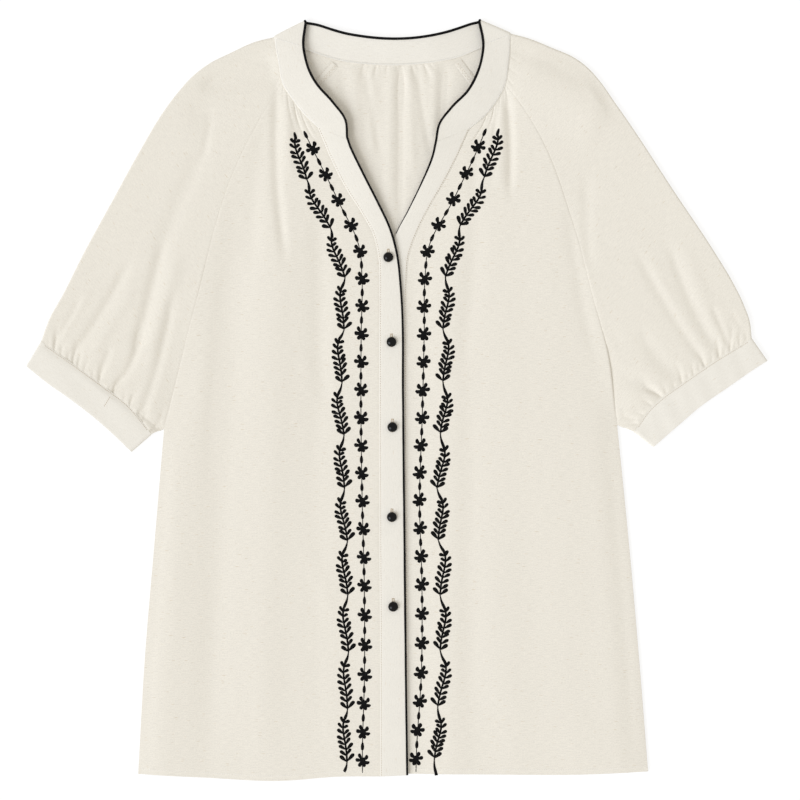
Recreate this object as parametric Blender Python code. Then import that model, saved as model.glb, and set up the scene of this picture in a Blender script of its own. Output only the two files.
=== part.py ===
"""A short-sleeved raglan blouse laid out face up, as its sewn pieces.

Units are metres. +Z is up from the surface that it lies on, +Y points to the neck and +X to the
wearer's left. The origin is the middle of the outline, on the surface. "Right" and "left" in the
names are the wearer's, so the right front is on the -X side.
"""

import math

import bmesh
import bpy
import numpy as np

# Cloth and gaps
CLOTH = 0.0012  # wall of a single layer
DOUBLE = 0.0016  # wall of a faced strip: neck band, plackets and cuffs
GAP = 0.0003  # between pieces that lie on each other
SEAM = 0.0002  # each piece stops this far short of its seam line
LAYER = CLOTH + GAP  # underside of cloth that lies on the back
FRONT_LIFT = 0.0040  # underside of the fronts where they lie easy over the back
SIDE_ROLL = 0.028  # distance over which a front rises from its side seam
NECK_RISE = 0.040  # distance over which a front meets the height of its placket
PIPING_RADIUS = 0.0011
BUTTON_RADIUS = 0.0050
BUTTON_HEIGHT = 0.0046
BUTTONS = ((-0.0087, 0.1432), (-0.0055, 0.0585), (-0.0046, -0.0266), (-0.0051, -0.1164), (-0.0038, -0.2059))
BUTTON_PROFILE = (  # share of the radius, share of the height
    (0.62, 0.00), (0.92, 0.14), (1.00, 0.36), (0.90, 0.66), (0.62, 0.90), (0.28, 0.99),
)
PLACKET_TOP = 0.0056  # upper face of the right placket where the buttons sit
EASY_HEIGHT = FRONT_LIFT + 0.0002  # underside of the sleeves' upper layer
CUFF_CROWN = 0.0008
SHOULDER_FADE = 6.0  # folds fade over one sixth of the sleeve's width at its outer fold
SLEEVE_UNDERARM_SHARE = 0.85  # share of the shoulder line that lies above the underarm

# Grid of each kind of piece
RAGLAN_ROWS = 10
SIDE_ROWS = 6
UNDER_ROWS = 3
NECK_BLEND_ROWS = 3
LOW_ROW = RAGLAN_ROWS - 3  # from this row down the upper layer is sewn close to the back
FRONT_COLUMNS = 21
SLEEVE_FRONT_COLUMNS = 27
SLEEVE_BACK_COLUMNS = 17
CUFF_COLUMNS = 10
STRIP_COLUMNS = 4
FOLD_STEPS = 4
STRIP_SPLITS = 3
CORD_SIDES = 6
BUTTON_SIDES = 14

# Neck band, one row for each section: seam_x, seam_y, seam_z, edge_x, edge_y, edge_z.
# Heights are of the middle of the wall. The right half of the front, from its placket to the fold.
BAND_RIGHT = (
    (-0.0795, 0.2735, 0.0050, -0.0497, 0.2605, 0.0090),
    (-0.0872, 0.2803, 0.0050, -0.0516, 0.2800, 0.0092),
    (-0.0945, 0.2877, 0.0050, -0.0636, 0.2970, 0.0090),
    (-0.1043, 0.3005, 0.0050, -0.0795, 0.3150, 0.0085),
    (-0.1151, 0.3176, 0.0050, -0.0880, 0.3302, 0.0078),
    (-0.1182, 0.3340, 0.0050, -0.0918, 0.3428, 0.0070),
    (-0.1209, 0.3485, 0.0050, -0.0937, 0.3570, 0.0064),
    (-0.1226, 0.3611, 0.0050, -0.0912, 0.3778, 0.0060),
)
BAND_BACK = (
    (-0.1226, 0.3611, 0.0008, -0.0912, 0.3778, 0.0026),
    (-0.1060, 0.3562, 0.0008, -0.0800, 0.3757, 0.0034),
    (-0.0850, 0.3486, 0.0008, -0.0655, 0.3710, 0.0045),
    (-0.0642, 0.3416, 0.0008, -0.0510, 0.3668, 0.0055),
    (-0.0445, 0.3376, 0.0008, -0.0355, 0.3640, 0.0062),
    (-0.0225, 0.3357, 0.0008, -0.0180, 0.3620, 0.0065),
    (0.0000, 0.3352, 0.0008, 0.0000, 0.3614, 0.0066),
    (0.0225, 0.3364, 0.0008, 0.0180, 0.3624, 0.0065),
    (0.0437, 0.3393, 0.0008, 0.0345, 0.3648, 0.0062),
    (0.0636, 0.3439, 0.0008, 0.0500, 0.3684, 0.0055),
    (0.0810, 0.3514, 0.0008, 0.0630, 0.3726, 0.0045),
    (0.0985, 0.3590, 0.0008, 0.0740, 0.3765, 0.0034),
    (0.1135, 0.3646, 0.0008, 0.0822, 0.3786, 0.0026),
)
BAND_LEFT = (
    (0.1135, 0.3646, 0.0050, 0.0822, 0.3786, 0.0060),
    (0.1132, 0.3500, 0.0050, 0.0862, 0.3580, 0.0064),
    (0.1115, 0.3330, 0.0050, 0.0846, 0.3410, 0.0070),
    (0.1089, 0.3163, 0.0050, 0.0800, 0.3262, 0.0078),
    (0.1000, 0.2990, 0.0050, 0.0705, 0.3088, 0.0085),
    (0.0880, 0.2840, 0.0050, 0.0540, 0.2918, 0.0090),
    (0.0808, 0.2777, 0.0050, 0.0424, 0.2760, 0.0092),
    (0.0728, 0.2719, 0.0050, 0.0388, 0.2580, 0.0088),
)
RAGLAN_ROW_RIGHT = 4  # where the raglan seams meet the band, in the tables above
RAGLAN_ROW_LEFT = 3
BACK_RAGLAN_ROWS = (3, 9)
FOLD_OUT_RIGHT = np.array([-0.465, 0.886])  # which way the shoulder folds of the band point
FOLD_OUT_LEFT = np.array([0.405, 0.914])
BAND_FOLD_RADIUS = (BAND_RIGHT[-1][2] - BAND_BACK[0][2]) / 2

# Placket strips, one row for each section: seam_x, seam_y, seam_z, edge_x, edge_y, edge_z.
PLACKET_RIGHT = (
    (-0.0795, 0.2735, 0.0050, -0.0497, 0.2605, 0.0090),
    (-0.0665, 0.2425, 0.0050, -0.0450, 0.2495, 0.0086),
    (-0.0512, 0.2122, 0.0050, -0.0318, 0.2225, 0.0076),
    (-0.0350, 0.1865, 0.0050, -0.0188, 0.1970, 0.0066),
    (-0.0240, 0.1660, 0.0049, -0.0070, 0.1715, 0.0056),
    (-0.0188, 0.1440, 0.0048, -0.0004, 0.1480, 0.0050),
    (-0.0178, 0.1150, 0.0048, 0.0034, 0.1160, 0.0048),
    (-0.0180, 0.0700, 0.0048, 0.0057, 0.0700, 0.0047),
    (-0.0180, 0.0200, 0.0048, 0.0058, 0.0200, 0.0047),
    (-0.0180, -0.0275, 0.0048, 0.0062, -0.0275, 0.0047),
    (-0.0176, -0.1450, 0.0048, 0.0074, -0.1450, 0.0047),
    (-0.0170, -0.2600, 0.0048, 0.0086, -0.2600, 0.0047),
    (-0.0170, -0.3758, 0.0048, 0.0101, -0.3745, 0.0047),
)
PLACKET_LEFT = (
    (0.0728, 0.2719, 0.0050, 0.0388, 0.2580, 0.0088),
    (0.0610, 0.2450, 0.0048, 0.0350, 0.2420, 0.0072),
    (0.0480, 0.2200, 0.0043, 0.0245, 0.2170, 0.0054),
    (0.0330, 0.1940, 0.0036, 0.0118, 0.1910, 0.0036),
    (0.0200, 0.1680, 0.0029, -0.0010, 0.1660, 0.0026),
    (0.0124, 0.1460, 0.0024, -0.0078, 0.1440, 0.0023),
    (0.0100, 0.1150, 0.0023, -0.0130, 0.1130, 0.0023),
    (0.0096, 0.0700, 0.0023, -0.0155, 0.0700, 0.0023),
    (0.0098, 0.0200, 0.0023, -0.0155, 0.0200, 0.0023),
    (0.0100, -0.0275, 0.0023, -0.0155, -0.0275, 0.0023),
    (0.0106, -0.1450, 0.0023, -0.0150, -0.1450, 0.0023),
    (0.0112, -0.2600, 0.0023, -0.0145, -0.2600, 0.0023),
    (0.0120, -0.3735, 0.0023, -0.0140, -0.3725, 0.0023),
)
TUCKED_ROWS = 5  # rows of the left placket's edge that carry piping, the last one tucked under

# Seams and outlines in plan: x, y
RAGLAN_FRONT_RIGHT = (
    (-0.1151, 0.3176), (-0.1419, 0.2729), (-0.1661, 0.2219), (-0.1827, 0.1709),
    (-0.1980, 0.1120), (-0.2120, 0.0560), (-0.2240, 0.0080), (-0.2330, -0.0275),
)
RAGLAN_FRONT_LEFT = (
    (0.1089, 0.3163), (0.1306, 0.2857), (0.1522, 0.2449), (0.1688, 0.1990),
    (0.1841, 0.1505), (0.1982, 0.0969), (0.2109, 0.0500), (0.2202, -0.0235),
)
RAGLAN_BACK_RIGHT = (
    (-0.0642, 0.3416), (-0.0930, 0.3080), (-0.1270, 0.2570), (-0.1560, 0.2050),
    (-0.1800, 0.1480), (-0.2010, 0.0880), (-0.2190, 0.0280), (-0.2330, -0.0275),
)
RAGLAN_BACK_LEFT = (
    (0.0636, 0.3439), (0.0900, 0.3080), (0.1210, 0.2570), (0.1480, 0.2050),
    (0.1700, 0.1480), (0.1900, 0.0880), (0.2070, 0.0280), (0.2202, -0.0235),
)
SIDE_RIGHT = ((-0.2330, -0.0275), (-0.2427, -0.1424), (-0.2521, -0.2545), (-0.2590, -0.3736))
SIDE_LEFT = ((0.2202, -0.0235), (0.2339, -0.1628), (0.2440, -0.2800), (0.2512, -0.3712))
HEM_RIGHT = (
    (-0.2590, -0.3736), (-0.1930, -0.3771), (-0.1138, -0.3801), (-0.0577, -0.3760), (-0.0170, -0.3758),
)
HEM_LEFT = ((0.2512, -0.3712), (0.1816, -0.3740), (0.1050, -0.3740), (0.0500, -0.3737), (0.0120, -0.3735))
BACK_HEM = (
    (-0.2590, -0.3736), (-0.1700, -0.3752), (-0.0800, -0.3745), (0.0, -0.3735),
    (0.0800, -0.3725), (0.1700, -0.3722), (0.2512, -0.3712),
)
SHOULDER_RIGHT = (
    (-0.1236, 0.3630), (-0.1419, 0.3584), (-0.1674, 0.3469), (-0.1878, 0.3367), (-0.2031, 0.3252),
    (-0.2184, 0.3087), (-0.2337, 0.2883), (-0.2567, 0.2500), (-0.2848, 0.1990), (-0.3154, 0.1428),
    (-0.3332, 0.1071), (-0.3485, 0.0791), (-0.3556, 0.0592),
)
SHOULDER_LEFT = (
    (0.1144, 0.3665), (0.1306, 0.3622), (0.1561, 0.3520), (0.1765, 0.3431), (0.1918, 0.3316),
    (0.2020, 0.3201), (0.2173, 0.2985), (0.2351, 0.2729), (0.2760, 0.2104), (0.3168, 0.1492),
    (0.3346, 0.1199), (0.3461, 0.0969), (0.3525, 0.0791), (0.3545, 0.0620),
)
CUFF_SEAM_RIGHT = (
    (-0.3556, 0.0592), (-0.3260, 0.0383), (-0.2882, 0.0107), (-0.2690, -0.0040), (-0.2546, -0.0209),
    (-0.2454, -0.0332),
)
CUFF_EDGE_RIGHT = (
    (-0.3704, 0.0342), (-0.3515, 0.0189), (-0.3260, 0.0010), (-0.3005, -0.0189), (-0.2821, -0.0352),
    (-0.2658, -0.0510),
)
CUFF_SEAM_LEFT = (
    (0.3545, 0.0620), (0.3178, 0.0397), (0.2834, 0.0161), (0.2650, 0.0029), (0.2524, -0.0086),
    (0.2369, -0.0309),
)
CUFF_EDGE_LEFT = (
    (0.3700, 0.0397), (0.3557, 0.0305), (0.3293, 0.0121), (0.3029, -0.0063), (0.2834, -0.0229),
    (0.2564, -0.0464),
)

# Largest folds of the upper layer: start_x, start_y, end_x, end_y, half_width, height.
# A negative height is a trough.
FOLDS = (
    (-0.1190, 0.3105, -0.1180, 0.2205, 0.0060, -0.0016),
    (-0.1080, 0.3000, -0.1040, 0.2000, 0.0070, 0.0013),
    (-0.1150, 0.2100, -0.1070, 0.0100, 0.0120, -0.0011),
    (-0.1270, 0.2000, -0.1290, -0.3100, 0.0170, 0.0016),
    (-0.1470, 0.2475, -0.1800, 0.0300, 0.0150, -0.0013),
    (-0.1800, 0.0300, -0.2130, -0.3650, 0.0180, -0.0014),
    (-0.1600, 0.2200, -0.1690, -0.0500, 0.0130, 0.0012),
    (-0.0790, 0.1000, -0.0800, 0.0300, 0.0140, -0.0010),
    (-0.0950, -0.0800, -0.0970, -0.3700, 0.0200, -0.0011),
    (0.1120, 0.3035, 0.1140, 0.2205, 0.0060, -0.0015),
    (0.1010, 0.2950, 0.1000, 0.2000, 0.0080, 0.0012),
    (0.0730, 0.1600, 0.0650, 0.0000, 0.0130, -0.0011),
    (0.0930, 0.2200, 0.1130, -0.3700, 0.0280, 0.0015),
    (0.1430, 0.2000, 0.1730, -0.3600, 0.0280, 0.0011),
    (0.0930, -0.3000, 0.0880, -0.3700, 0.0150, -0.0008),
    (-0.2750, 0.1280, -0.3170, 0.0480, 0.0070, -0.0012),
    (-0.2510, 0.1150, -0.2710, 0.0150, 0.0080, -0.0013),
    (-0.2340, 0.1350, -0.2590, 0.0050, 0.0080, 0.0012),
    (-0.1930, 0.2700, -0.2320, 0.0700, 0.0110, -0.0009),
    (-0.1270, 0.3480, -0.1920, 0.3120, 0.0110, -0.0011),
    (0.2870, 0.1350, 0.3330, 0.0750, 0.0070, -0.0012),
    (0.2580, 0.1500, 0.3150, 0.0550, 0.0080, -0.0013),
    (0.1930, 0.1850, 0.2430, 0.0700, 0.0100, -0.0009),
    (0.2430, 0.1900, 0.2950, 0.0600, 0.0090, 0.0012),
    (0.1180, 0.3500, 0.1830, 0.3200, 0.0130, -0.0011),
)

# Gathers: every second column of a panel is a crest. How high they are at their seam, how far
# they run from it, and the first and last column of the gathered stretch.
CUFF_GATHERS = (0.0012, 0.045, 1, SLEEVE_FRONT_COLUMNS - 2)
CUFF_GATHERS_UNDER = (0.0007, 0.040, 1, SLEEVE_BACK_COLUMNS - 2)
NECK_GATHERS = (0.0009, 0.055, 3, 15)
BACK_GATHERS = (0.0010, 0.085, 5, 31)
BACK_EASY_SHARE = 0.28  # share of the back's neck seam, at either end, that isn't gathered

IVORY = (0.83, 0.79, 0.71)
BLACK = (0.012, 0.012, 0.014)


def curve_at(table, where):
    """Points on the smooth curve through a table's rows. 2.5 is halfway from row 2 to row 3."""
    rows = np.asarray(table, float)
    where = np.asarray(where, float)
    chord = np.linalg.norm(np.diff(rows, axis=0), axis=1)
    knots = np.concatenate([[0.0], np.cumsum(chord)])
    slope = np.gradient(rows, knots, axis=0)
    i = np.clip(np.floor(where).astype(int), 0, len(rows) - 2)
    f = (where - i)[:, None]
    span = chord[i][:, None]
    start = (2 * f**3 - 3 * f**2 + 1) * rows[i] + (f**3 - 2 * f**2 + f) * span * slope[i]
    end = (3 * f**2 - 2 * f**3) * rows[i + 1] + (f**3 - f**2) * span * slope[i + 1]
    return start + end


def between(table, shares, first=0, last=None):
    """Points on the curve through a table's rows, at those shares of its length."""
    last = len(table) - 1 if last is None else last
    fine = curve_at(table, np.linspace(min(first, last), max(first, last), 400))
    if first > last:
        fine = fine[::-1]
    along = np.concatenate([[0.0], np.cumsum(np.linalg.norm(np.diff(fine, axis=0), axis=1))])
    return np.stack([np.interp(np.asarray(shares) * along[-1], along, column) for column in fine.T], axis=1)


def evenly(table, count, first=0, last=None):
    """That many points on the curve through a table's rows, the same distance apart."""
    return between(table, np.linspace(0, 1, count), first, last)


def ease(x):
    """A smooth step from 0 to 1."""
    x = np.clip(x, 0.0, 1.0)
    return x * x * (3 - 2 * x)


def rise(distance, run):
    """A quarter wave that climbs from 0 to 1 over the run."""
    return np.sin(np.clip(distance / run, 0.0, 1.0) * math.pi / 2)


def relief(x, y):
    """How far the folds lift the upper layer at a place in plan."""
    total = np.zeros(np.shape(x))
    for x0, y0, x1, y1, half_width, height in FOLDS:
        dx, dy = x1 - x0, y1 - y0
        length = math.hypot(dx, dy)
        along = ((x - x0) * dx + (y - y0) * dy) / length
        aside = ((x - x0) * dy - (y - y0) * dx) / length
        end = 0.25 * length
        fade = ease((along + end) / (2 * end)) * ease((length + end - along) / (2 * end))
        total = total + height * np.exp(-((aside / half_width) ** 2)) * fade
    return total


def crests(columns, gathers, distance):
    """How far gathers lift each column at a distance from their seam. No two are quite alike."""
    height, run, first, last = gathers
    column = np.arange(columns)
    crest = (column >= first) & (column <= last) & ((column - first) % 2 == 0)
    uneven = 0.78 + 0.22 * np.sin(2.3 * column)
    return height * crest * uneven * (1 - ease(distance / (run * uneven)))


def skew(direction, line):
    """How squarely each direction crosses a line of points in plan: 1 is a right angle."""
    tangent = np.gradient(line, axis=0)
    cross = direction[:, 0] * tangent[:, 1] - direction[:, 1] * tangent[:, 0]
    lengths = np.linalg.norm(direction[:, :2], axis=1) * np.linalg.norm(tangent[:, :2], axis=1)
    return np.maximum(np.abs(cross) / np.maximum(lengths, 1e-12), 0.4)[:, None]


def pull(grid, row, inner):
    """Moves a row of points a little way towards its neighbour row, which leaves the seam's gap."""
    step = grid[inner] - grid[row]
    length = np.maximum(np.linalg.norm(step[:, :2], axis=1, keepdims=True), 1e-9)
    grid[row] = grid[row] + step * np.minimum(SEAM / skew(step, grid[row]) / length, 0.4)


def trimmed(grid, top=True, bottom=False, left=True, right=True):
    """The grid with the sides that are sewn pulled in."""
    grid = grid.copy()
    if top:
        pull(grid, 0, 1)
    if bottom:
        pull(grid, -1, -2)
    turned = grid.swapaxes(0, 1)
    if left:
        pull(turned, 0, 1)
    if right:
        pull(turned, -1, -2)
    return grid


def patch(left, right, top, bottom, shares=None):
    """A surface between four sides. Rows run from left to right, and each side is a line of points."""
    v = np.linspace(0, 1, len(left))[:, None, None]
    shares = np.linspace(0, 1, len(top)) if shares is None else shares
    u = shares[None, :, None]
    across = (1 - u) * left[:, None] + u * right[:, None]
    down = (1 - v) * top[None] + v * bottom[None]
    corners = (1 - u) * (1 - v) * left[0] + u * (1 - v) * right[0]
    corners = corners + (1 - u) * v * left[-1] + u * v * right[-1]
    return across + down - corners


def material(name, colour, roughness):
    made = bpy.data.materials.new(name)
    made.use_nodes = True
    shader = made.node_tree.nodes["Principled BSDF"]
    shader.inputs["Base Color"].default_value = (*colour, 1.0)
    shader.inputs["Roughness"].default_value = roughness
    shader.inputs["Metallic"].default_value = 0.0
    return made


def add_mesh(name, points, faces, finish):
    data = bpy.data.meshes.new(name)
    data.from_pydata([tuple(p) for p in points], [], faces)
    tidy = bmesh.new()
    tidy.from_mesh(data)
    bmesh.ops.recalc_face_normals(tidy, faces=tidy.faces)
    tidy.to_mesh(data)
    tidy.free()
    data.shade_smooth()
    data.set_sharp_from_angle(angle=math.radians(50))
    data.materials.append(finish)
    made = bpy.data.objects.new(name, data)
    bpy.context.scene.collection.objects.link(made)
    return made


def wall(name, outer, inner, finish, ring=False):
    """A closed solid between two grids of points. A ring joins its last column to its first."""
    rows, columns = outer.shape[:2]
    points = np.concatenate([outer.reshape(-1, 3), inner.reshape(-1, 3)])
    below = rows * columns
    spans = columns if ring else columns - 1
    faces = []
    for r in range(rows - 1):
        for c in range(spans):
            d = (c + 1) % columns
            a, b = r * columns + c, r * columns + d
            e, f = (r + 1) * columns + d, (r + 1) * columns + c
            faces.append((a, b, e, f))
            faces.append((below + f, below + e, below + b, below + a))
    for r in (0, rows - 1):
        for c in range(spans):
            a, b = r * columns + c, r * columns + (c + 1) % columns
            faces.append((a, b, below + b, below + a))
    if not ring:
        for c in (0, columns - 1):
            for r in range(rows - 1):
                a, b = r * columns + c, (r + 1) * columns + c
                faces.append((a, b, below + b, below + a))
    return add_mesh(name, points, faces, finish)


def flat_sheet(name, grid, thickness, finish):
    """A wall whose underside is the grid and whose thickness is measured straight up."""
    return wall(name, grid + np.array([0.0, 0.0, thickness]), grid, finish)


def split(rows, count):
    """The places along a table that cut each of its spans into that many parts."""
    return np.linspace(0, len(rows) - 1, (len(rows) - 1) * count + 1)


def fold_rows(front, back, out):
    """The sections round a fold between the last front section and the first back one."""
    made = []
    for angle in half_turn():
        row = []
        for k in (0, 3):
            radius = (front[k + 2] - back[k + 2]) / 2
            middle = (front[k + 2] + back[k + 2]) / 2
            reach = radius * math.cos(angle)
            row += [front[k] + out[0] * reach, front[k + 1] + out[1] * reach]
            row += [middle + radius * math.sin(angle)]
        made.append(row)
    return np.array(made)


def band_sections():
    """Every section of the neck band, from the right placket round the neck to the left one."""
    right = curve_at(BAND_RIGHT, split(BAND_RIGHT, STRIP_SPLITS))
    back = curve_at(BAND_BACK, split(BAND_BACK, STRIP_SPLITS - 1))
    left = curve_at(BAND_LEFT, split(BAND_LEFT, STRIP_SPLITS))
    fold_right = fold_rows(right[-1], back[0], FOLD_OUT_RIGHT)
    fold_left = fold_rows(left[0], back[-1], FOLD_OUT_LEFT)[::-1]
    return np.concatenate([right, fold_right, back, fold_left, left])


def strip(sections):
    """The middle of a strip between a seam and an edge, which stops short of the piping."""
    seam, edge = sections[:, :3], sections[:, 3:]
    direction = (edge - seam) / np.linalg.norm(edge - seam, axis=1, keepdims=True)
    start = seam + direction * SEAM / skew(direction, seam)
    stop = edge - direction * (PIPING_RADIUS + GAP) / skew(direction, edge)
    share = np.linspace(0, 1, STRIP_COLUMNS)[None, :, None]
    middle = start[:, None] * (1 - share) + stop[:, None] * share
    pull(middle, 0, 1)
    return middle


def neck_band(sections, finish):
    """A faced strip whose thickness is square to it all round the neck."""
    middle = strip(sections)
    pull(middle, -1, -2)
    run = np.gradient(middle, axis=0)
    side = np.gradient(middle, axis=1)
    normal = np.cross(side, run)
    normal = normal / np.linalg.norm(normal, axis=2, keepdims=True)
    wall("neck_band", middle + normal * DOUBLE / 2, middle - normal * DOUBLE / 2, finish)


def placket_rows(table):
    """Where the rows of a front panel meet its placket: some down to the underarm, and some below."""
    upper = np.arange(RAGLAN_ROWS)
    lower = np.linspace(RAGLAN_ROWS - 1, len(table) - 1, SIDE_ROWS)[1:]
    return np.concatenate([upper, lower])


def placket(name, table, finish):
    """A placket, whose seam follows the straight runs between the rows of its front panel."""
    rows = placket_rows(table)
    fine = np.concatenate(
        [np.linspace(a, b, STRIP_SPLITS, endpoint=False) for a, b in zip(rows[:-1], rows[1:])] + [rows[-1:]]
    )
    sections = curve_at(table, fine)
    at_rows = curve_at(table, rows)
    for k in range(3):
        sections[:, k] = np.interp(fine, rows, at_rows[:, k])
    flat_sheet(name, strip(sections) - np.array([0, 0, DOUBLE / 2]), DOUBLE, finish)
    return sections


def seam_heights(rows):
    """Underside of the upper layer along a raglan seam: high at the neck, on the back at the underarm."""
    down = ease(np.linspace(0, 1, RAGLAN_ROWS))
    heights = np.full(rows, LAYER)
    heights[:RAGLAN_ROWS] += (EASY_HEIGHT - LAYER) * (1 - down)
    return heights[:, None]


def neck_seam(table, first, last, count):
    """Points in plan on the band's seam between two of its rows."""
    return evenly(np.array(table)[:, :2], count, first, last)


def front_panel(name, raglan, side, hem, neck, placket_table, finish):
    """A front: gathered at the neck, with its raglan and side seams on the outside."""
    outside = np.concatenate([evenly(raglan, RAGLAN_ROWS), evenly(side, SIDE_ROWS)[1:]])
    placket_seam = curve_at(placket_table, placket_rows(placket_table))
    plan = patch(outside, placket_seam[:, :2], neck, evenly(hem, FRONT_COLUMNS))
    from_side = np.linalg.norm(plan - plan[:, :1], axis=2)
    from_placket = np.linalg.norm(plan - plan[:, -1:], axis=2)
    from_neck = np.linalg.norm(plan - plan[:1], axis=2)
    side_z = seam_heights(len(outside))
    placket_z = placket_seam[:, 2:3] - DOUBLE / 2
    z = side_z + (FRONT_LIFT - side_z) * rise(from_side, SIDE_ROLL)
    z = placket_z + (z - placket_z) * ease(from_placket / NECK_RISE)
    z = z + crests(FRONT_COLUMNS, NECK_GATHERS, from_neck)
    sewn_down = np.arange(len(outside))[:, None] >= LOW_ROW
    z = z + relief(plan[..., 0], plan[..., 1]) * np.where(sewn_down, ease(from_side / SIDE_ROLL), 1.0)
    flat_sheet(name, trimmed(np.dstack([plan, np.maximum(z, LAYER)])), CLOTH, finish)


def back_panel(finish):
    """The back lies flat, and its neck edge is gathered."""
    left = np.concatenate([evenly(RAGLAN_BACK_RIGHT, RAGLAN_ROWS), evenly(SIDE_RIGHT, SIDE_ROWS)[1:]])
    right = np.concatenate([evenly(RAGLAN_BACK_LEFT, RAGLAN_ROWS), evenly(SIDE_LEFT, SIDE_ROWS)[1:]])
    easy = np.linspace(0, BACK_EASY_SHARE, BACK_GATHERS[2])[:-1]
    gathered = np.linspace(BACK_EASY_SHARE, 1 - BACK_EASY_SHARE, BACK_GATHERS[3] - BACK_GATHERS[2] + 3)
    shares = np.concatenate([easy, gathered, 1 - easy[::-1]])
    neck = between(np.array(BAND_BACK)[:, :2], shares, *BACK_RAGLAN_ROWS)
    plan = patch(left, right, neck, between(BACK_HEM, shares), shares)
    from_neck = np.linalg.norm(plan - plan[:1], axis=2)
    z = crests(len(shares), BACK_GATHERS, from_neck)
    flat_sheet("back", trimmed(np.dstack([plan, z])), CLOTH, finish)


def half_turn():
    """The angles of the points on a fold between its two layers, from the upper one down."""
    return np.linspace(math.pi / 2, -math.pi / 2, FOLD_STEPS + 1)[1:-1]


def offset(plan, z, axis, distance):
    """Both faces of a wall round one section. The axis is the way that the section runs in plan."""
    forward = (np.roll(plan, -1, 0) - np.roll(plan, 1, 0))
    upward = np.roll(z, -1) - np.roll(z, 1)
    forward[0], upward[0] = plan[1] - plan[0], z[1] - z[0]
    forward[-1], upward[-1] = plan[-1] - plan[-2], z[-1] - z[-2]
    along = (forward * axis).sum(1)
    normal = np.column_stack([-upward * axis[:, 0], -upward * axis[:, 1], along])
    normal = normal / np.linalg.norm(normal, axis=1, keepdims=True)
    middle = np.column_stack([plan, z])
    return middle + normal * distance, middle - normal * distance


def sleeve(name, raglans, shoulder, cuff_seam, necks, band_out, finish):
    """A raglan sleeve folded along the top of the arm. Each row is one section, from the front seam
    out to the fold and back under to the back seam. Below the raglans both end at the arm seam."""
    raglan_front, raglan_back = (evenly(table, RAGLAN_ROWS) for table in raglans)
    neck_front, neck_back = necks
    arm_seam = np.linspace(raglan_front[-1], cuff_seam[-1], UNDER_ROWS + 1)[1:]
    front_in = np.concatenate([raglan_front, arm_seam])
    back_in = np.concatenate([raglan_back, arm_seam])
    rows = len(front_in)
    upper = np.linspace(0, SLEEVE_UNDERARM_SHARE, RAGLAN_ROWS)
    lower = np.linspace(SLEEVE_UNDERARM_SHARE, 1, UNDER_ROWS + 1)[1:]
    tips = between(shoulder, np.concatenate([upper, lower]))
    low = CLOTH / 2
    high = EASY_HEIGHT + CLOTH / 2
    radius, centre = (high - low) / 2, (high + low) / 2
    angles = half_turn()
    turn = np.linspace(0, 1, FOLD_STEPS + 1)[1:-1, None]
    cuff_front = evenly(cuff_seam, SLEEVE_FRONT_COLUMNS)[::-1]
    cuff_back = evenly(cuff_seam, SLEEVE_BACK_COLUMNS)
    seam_z = seam_heights(rows) + CLOTH / 2
    f = np.linspace(0, 1, SLEEVE_FRONT_COLUMNS)[:, None]
    g = np.linspace(0, 1, SLEEVE_BACK_COLUMNS)[:, None]
    above, below = [], []
    for k in range(rows):
        out_front, out_back = (unit(tips[k] - seam[k]) for seam in (front_in, back_in))
        near_cuff = max(0.0, 1 - (rows - 1 - k) / UNDER_ROWS)
        front = front_in[k] + f * (tips[k] - out_front * radius - front_in[k])
        back = tips[k] - out_back * radius + g * (back_in[k] - tips[k] + out_back * radius)
        front = front + near_cuff * bow(cuff_front, f)
        back = back + near_cuff * bow(cuff_back, g)
        from_seam = np.linalg.norm(front - front[0], axis=1)
        folds = relief(front[:, 0], front[:, 1]) * ease((1 - f[:, 0]) * SHOULDER_FADE)
        if k >= LOW_ROW:
            folds = folds * ease(from_seam / SIDE_ROLL)
        front_z = seam_z[k] + (high - seam_z[k]) * rise(from_seam, SIDE_ROLL) + folds
        front_z = front_z + crests(len(f), CUFF_GATHERS, np.linalg.norm(cuff_front - front, axis=1))
        back_z = low + crests(len(g), CUFF_GATHERS_UNDER, np.linalg.norm(cuff_back - back, axis=1))
        out = out_front * (1 - turn) + out_back * turn
        around = front[-1] * (1 - turn) + back[0] * turn + out * radius * np.cos(angles)[:, None]
        plan = np.concatenate([front, around, back])
        if k == 0:
            corner = neck_front[-1] + band_out * BAND_FOLD_RADIUS * np.cos(angles)[:, None]
            to_band = np.concatenate([neck_front, corner, neck_back]) - plan
        plan = plan + to_band * ease(1 - k / NECK_BLEND_ROWS)
        z = np.concatenate([np.maximum(front_z, LAYER + low), centre + radius * np.sin(angles), back_z])
        axis = np.concatenate([np.tile(out_front, (len(f), 1)), out, np.tile(out_back, (len(g), 1))])
        faces = offset(plan, z, axis, CLOTH / 2)
        above.append(faces[0])
        below.append(faces[1])
    wall(name, trimmed(np.array(above), bottom=True), trimmed(np.array(below), bottom=True), finish)


def bow(line, share):
    """How far a line of points bends away from straight."""
    return line - (line[0] + share * (line[-1] - line[0]))


def unit(vector):
    return vector / np.linalg.norm(vector)


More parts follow.
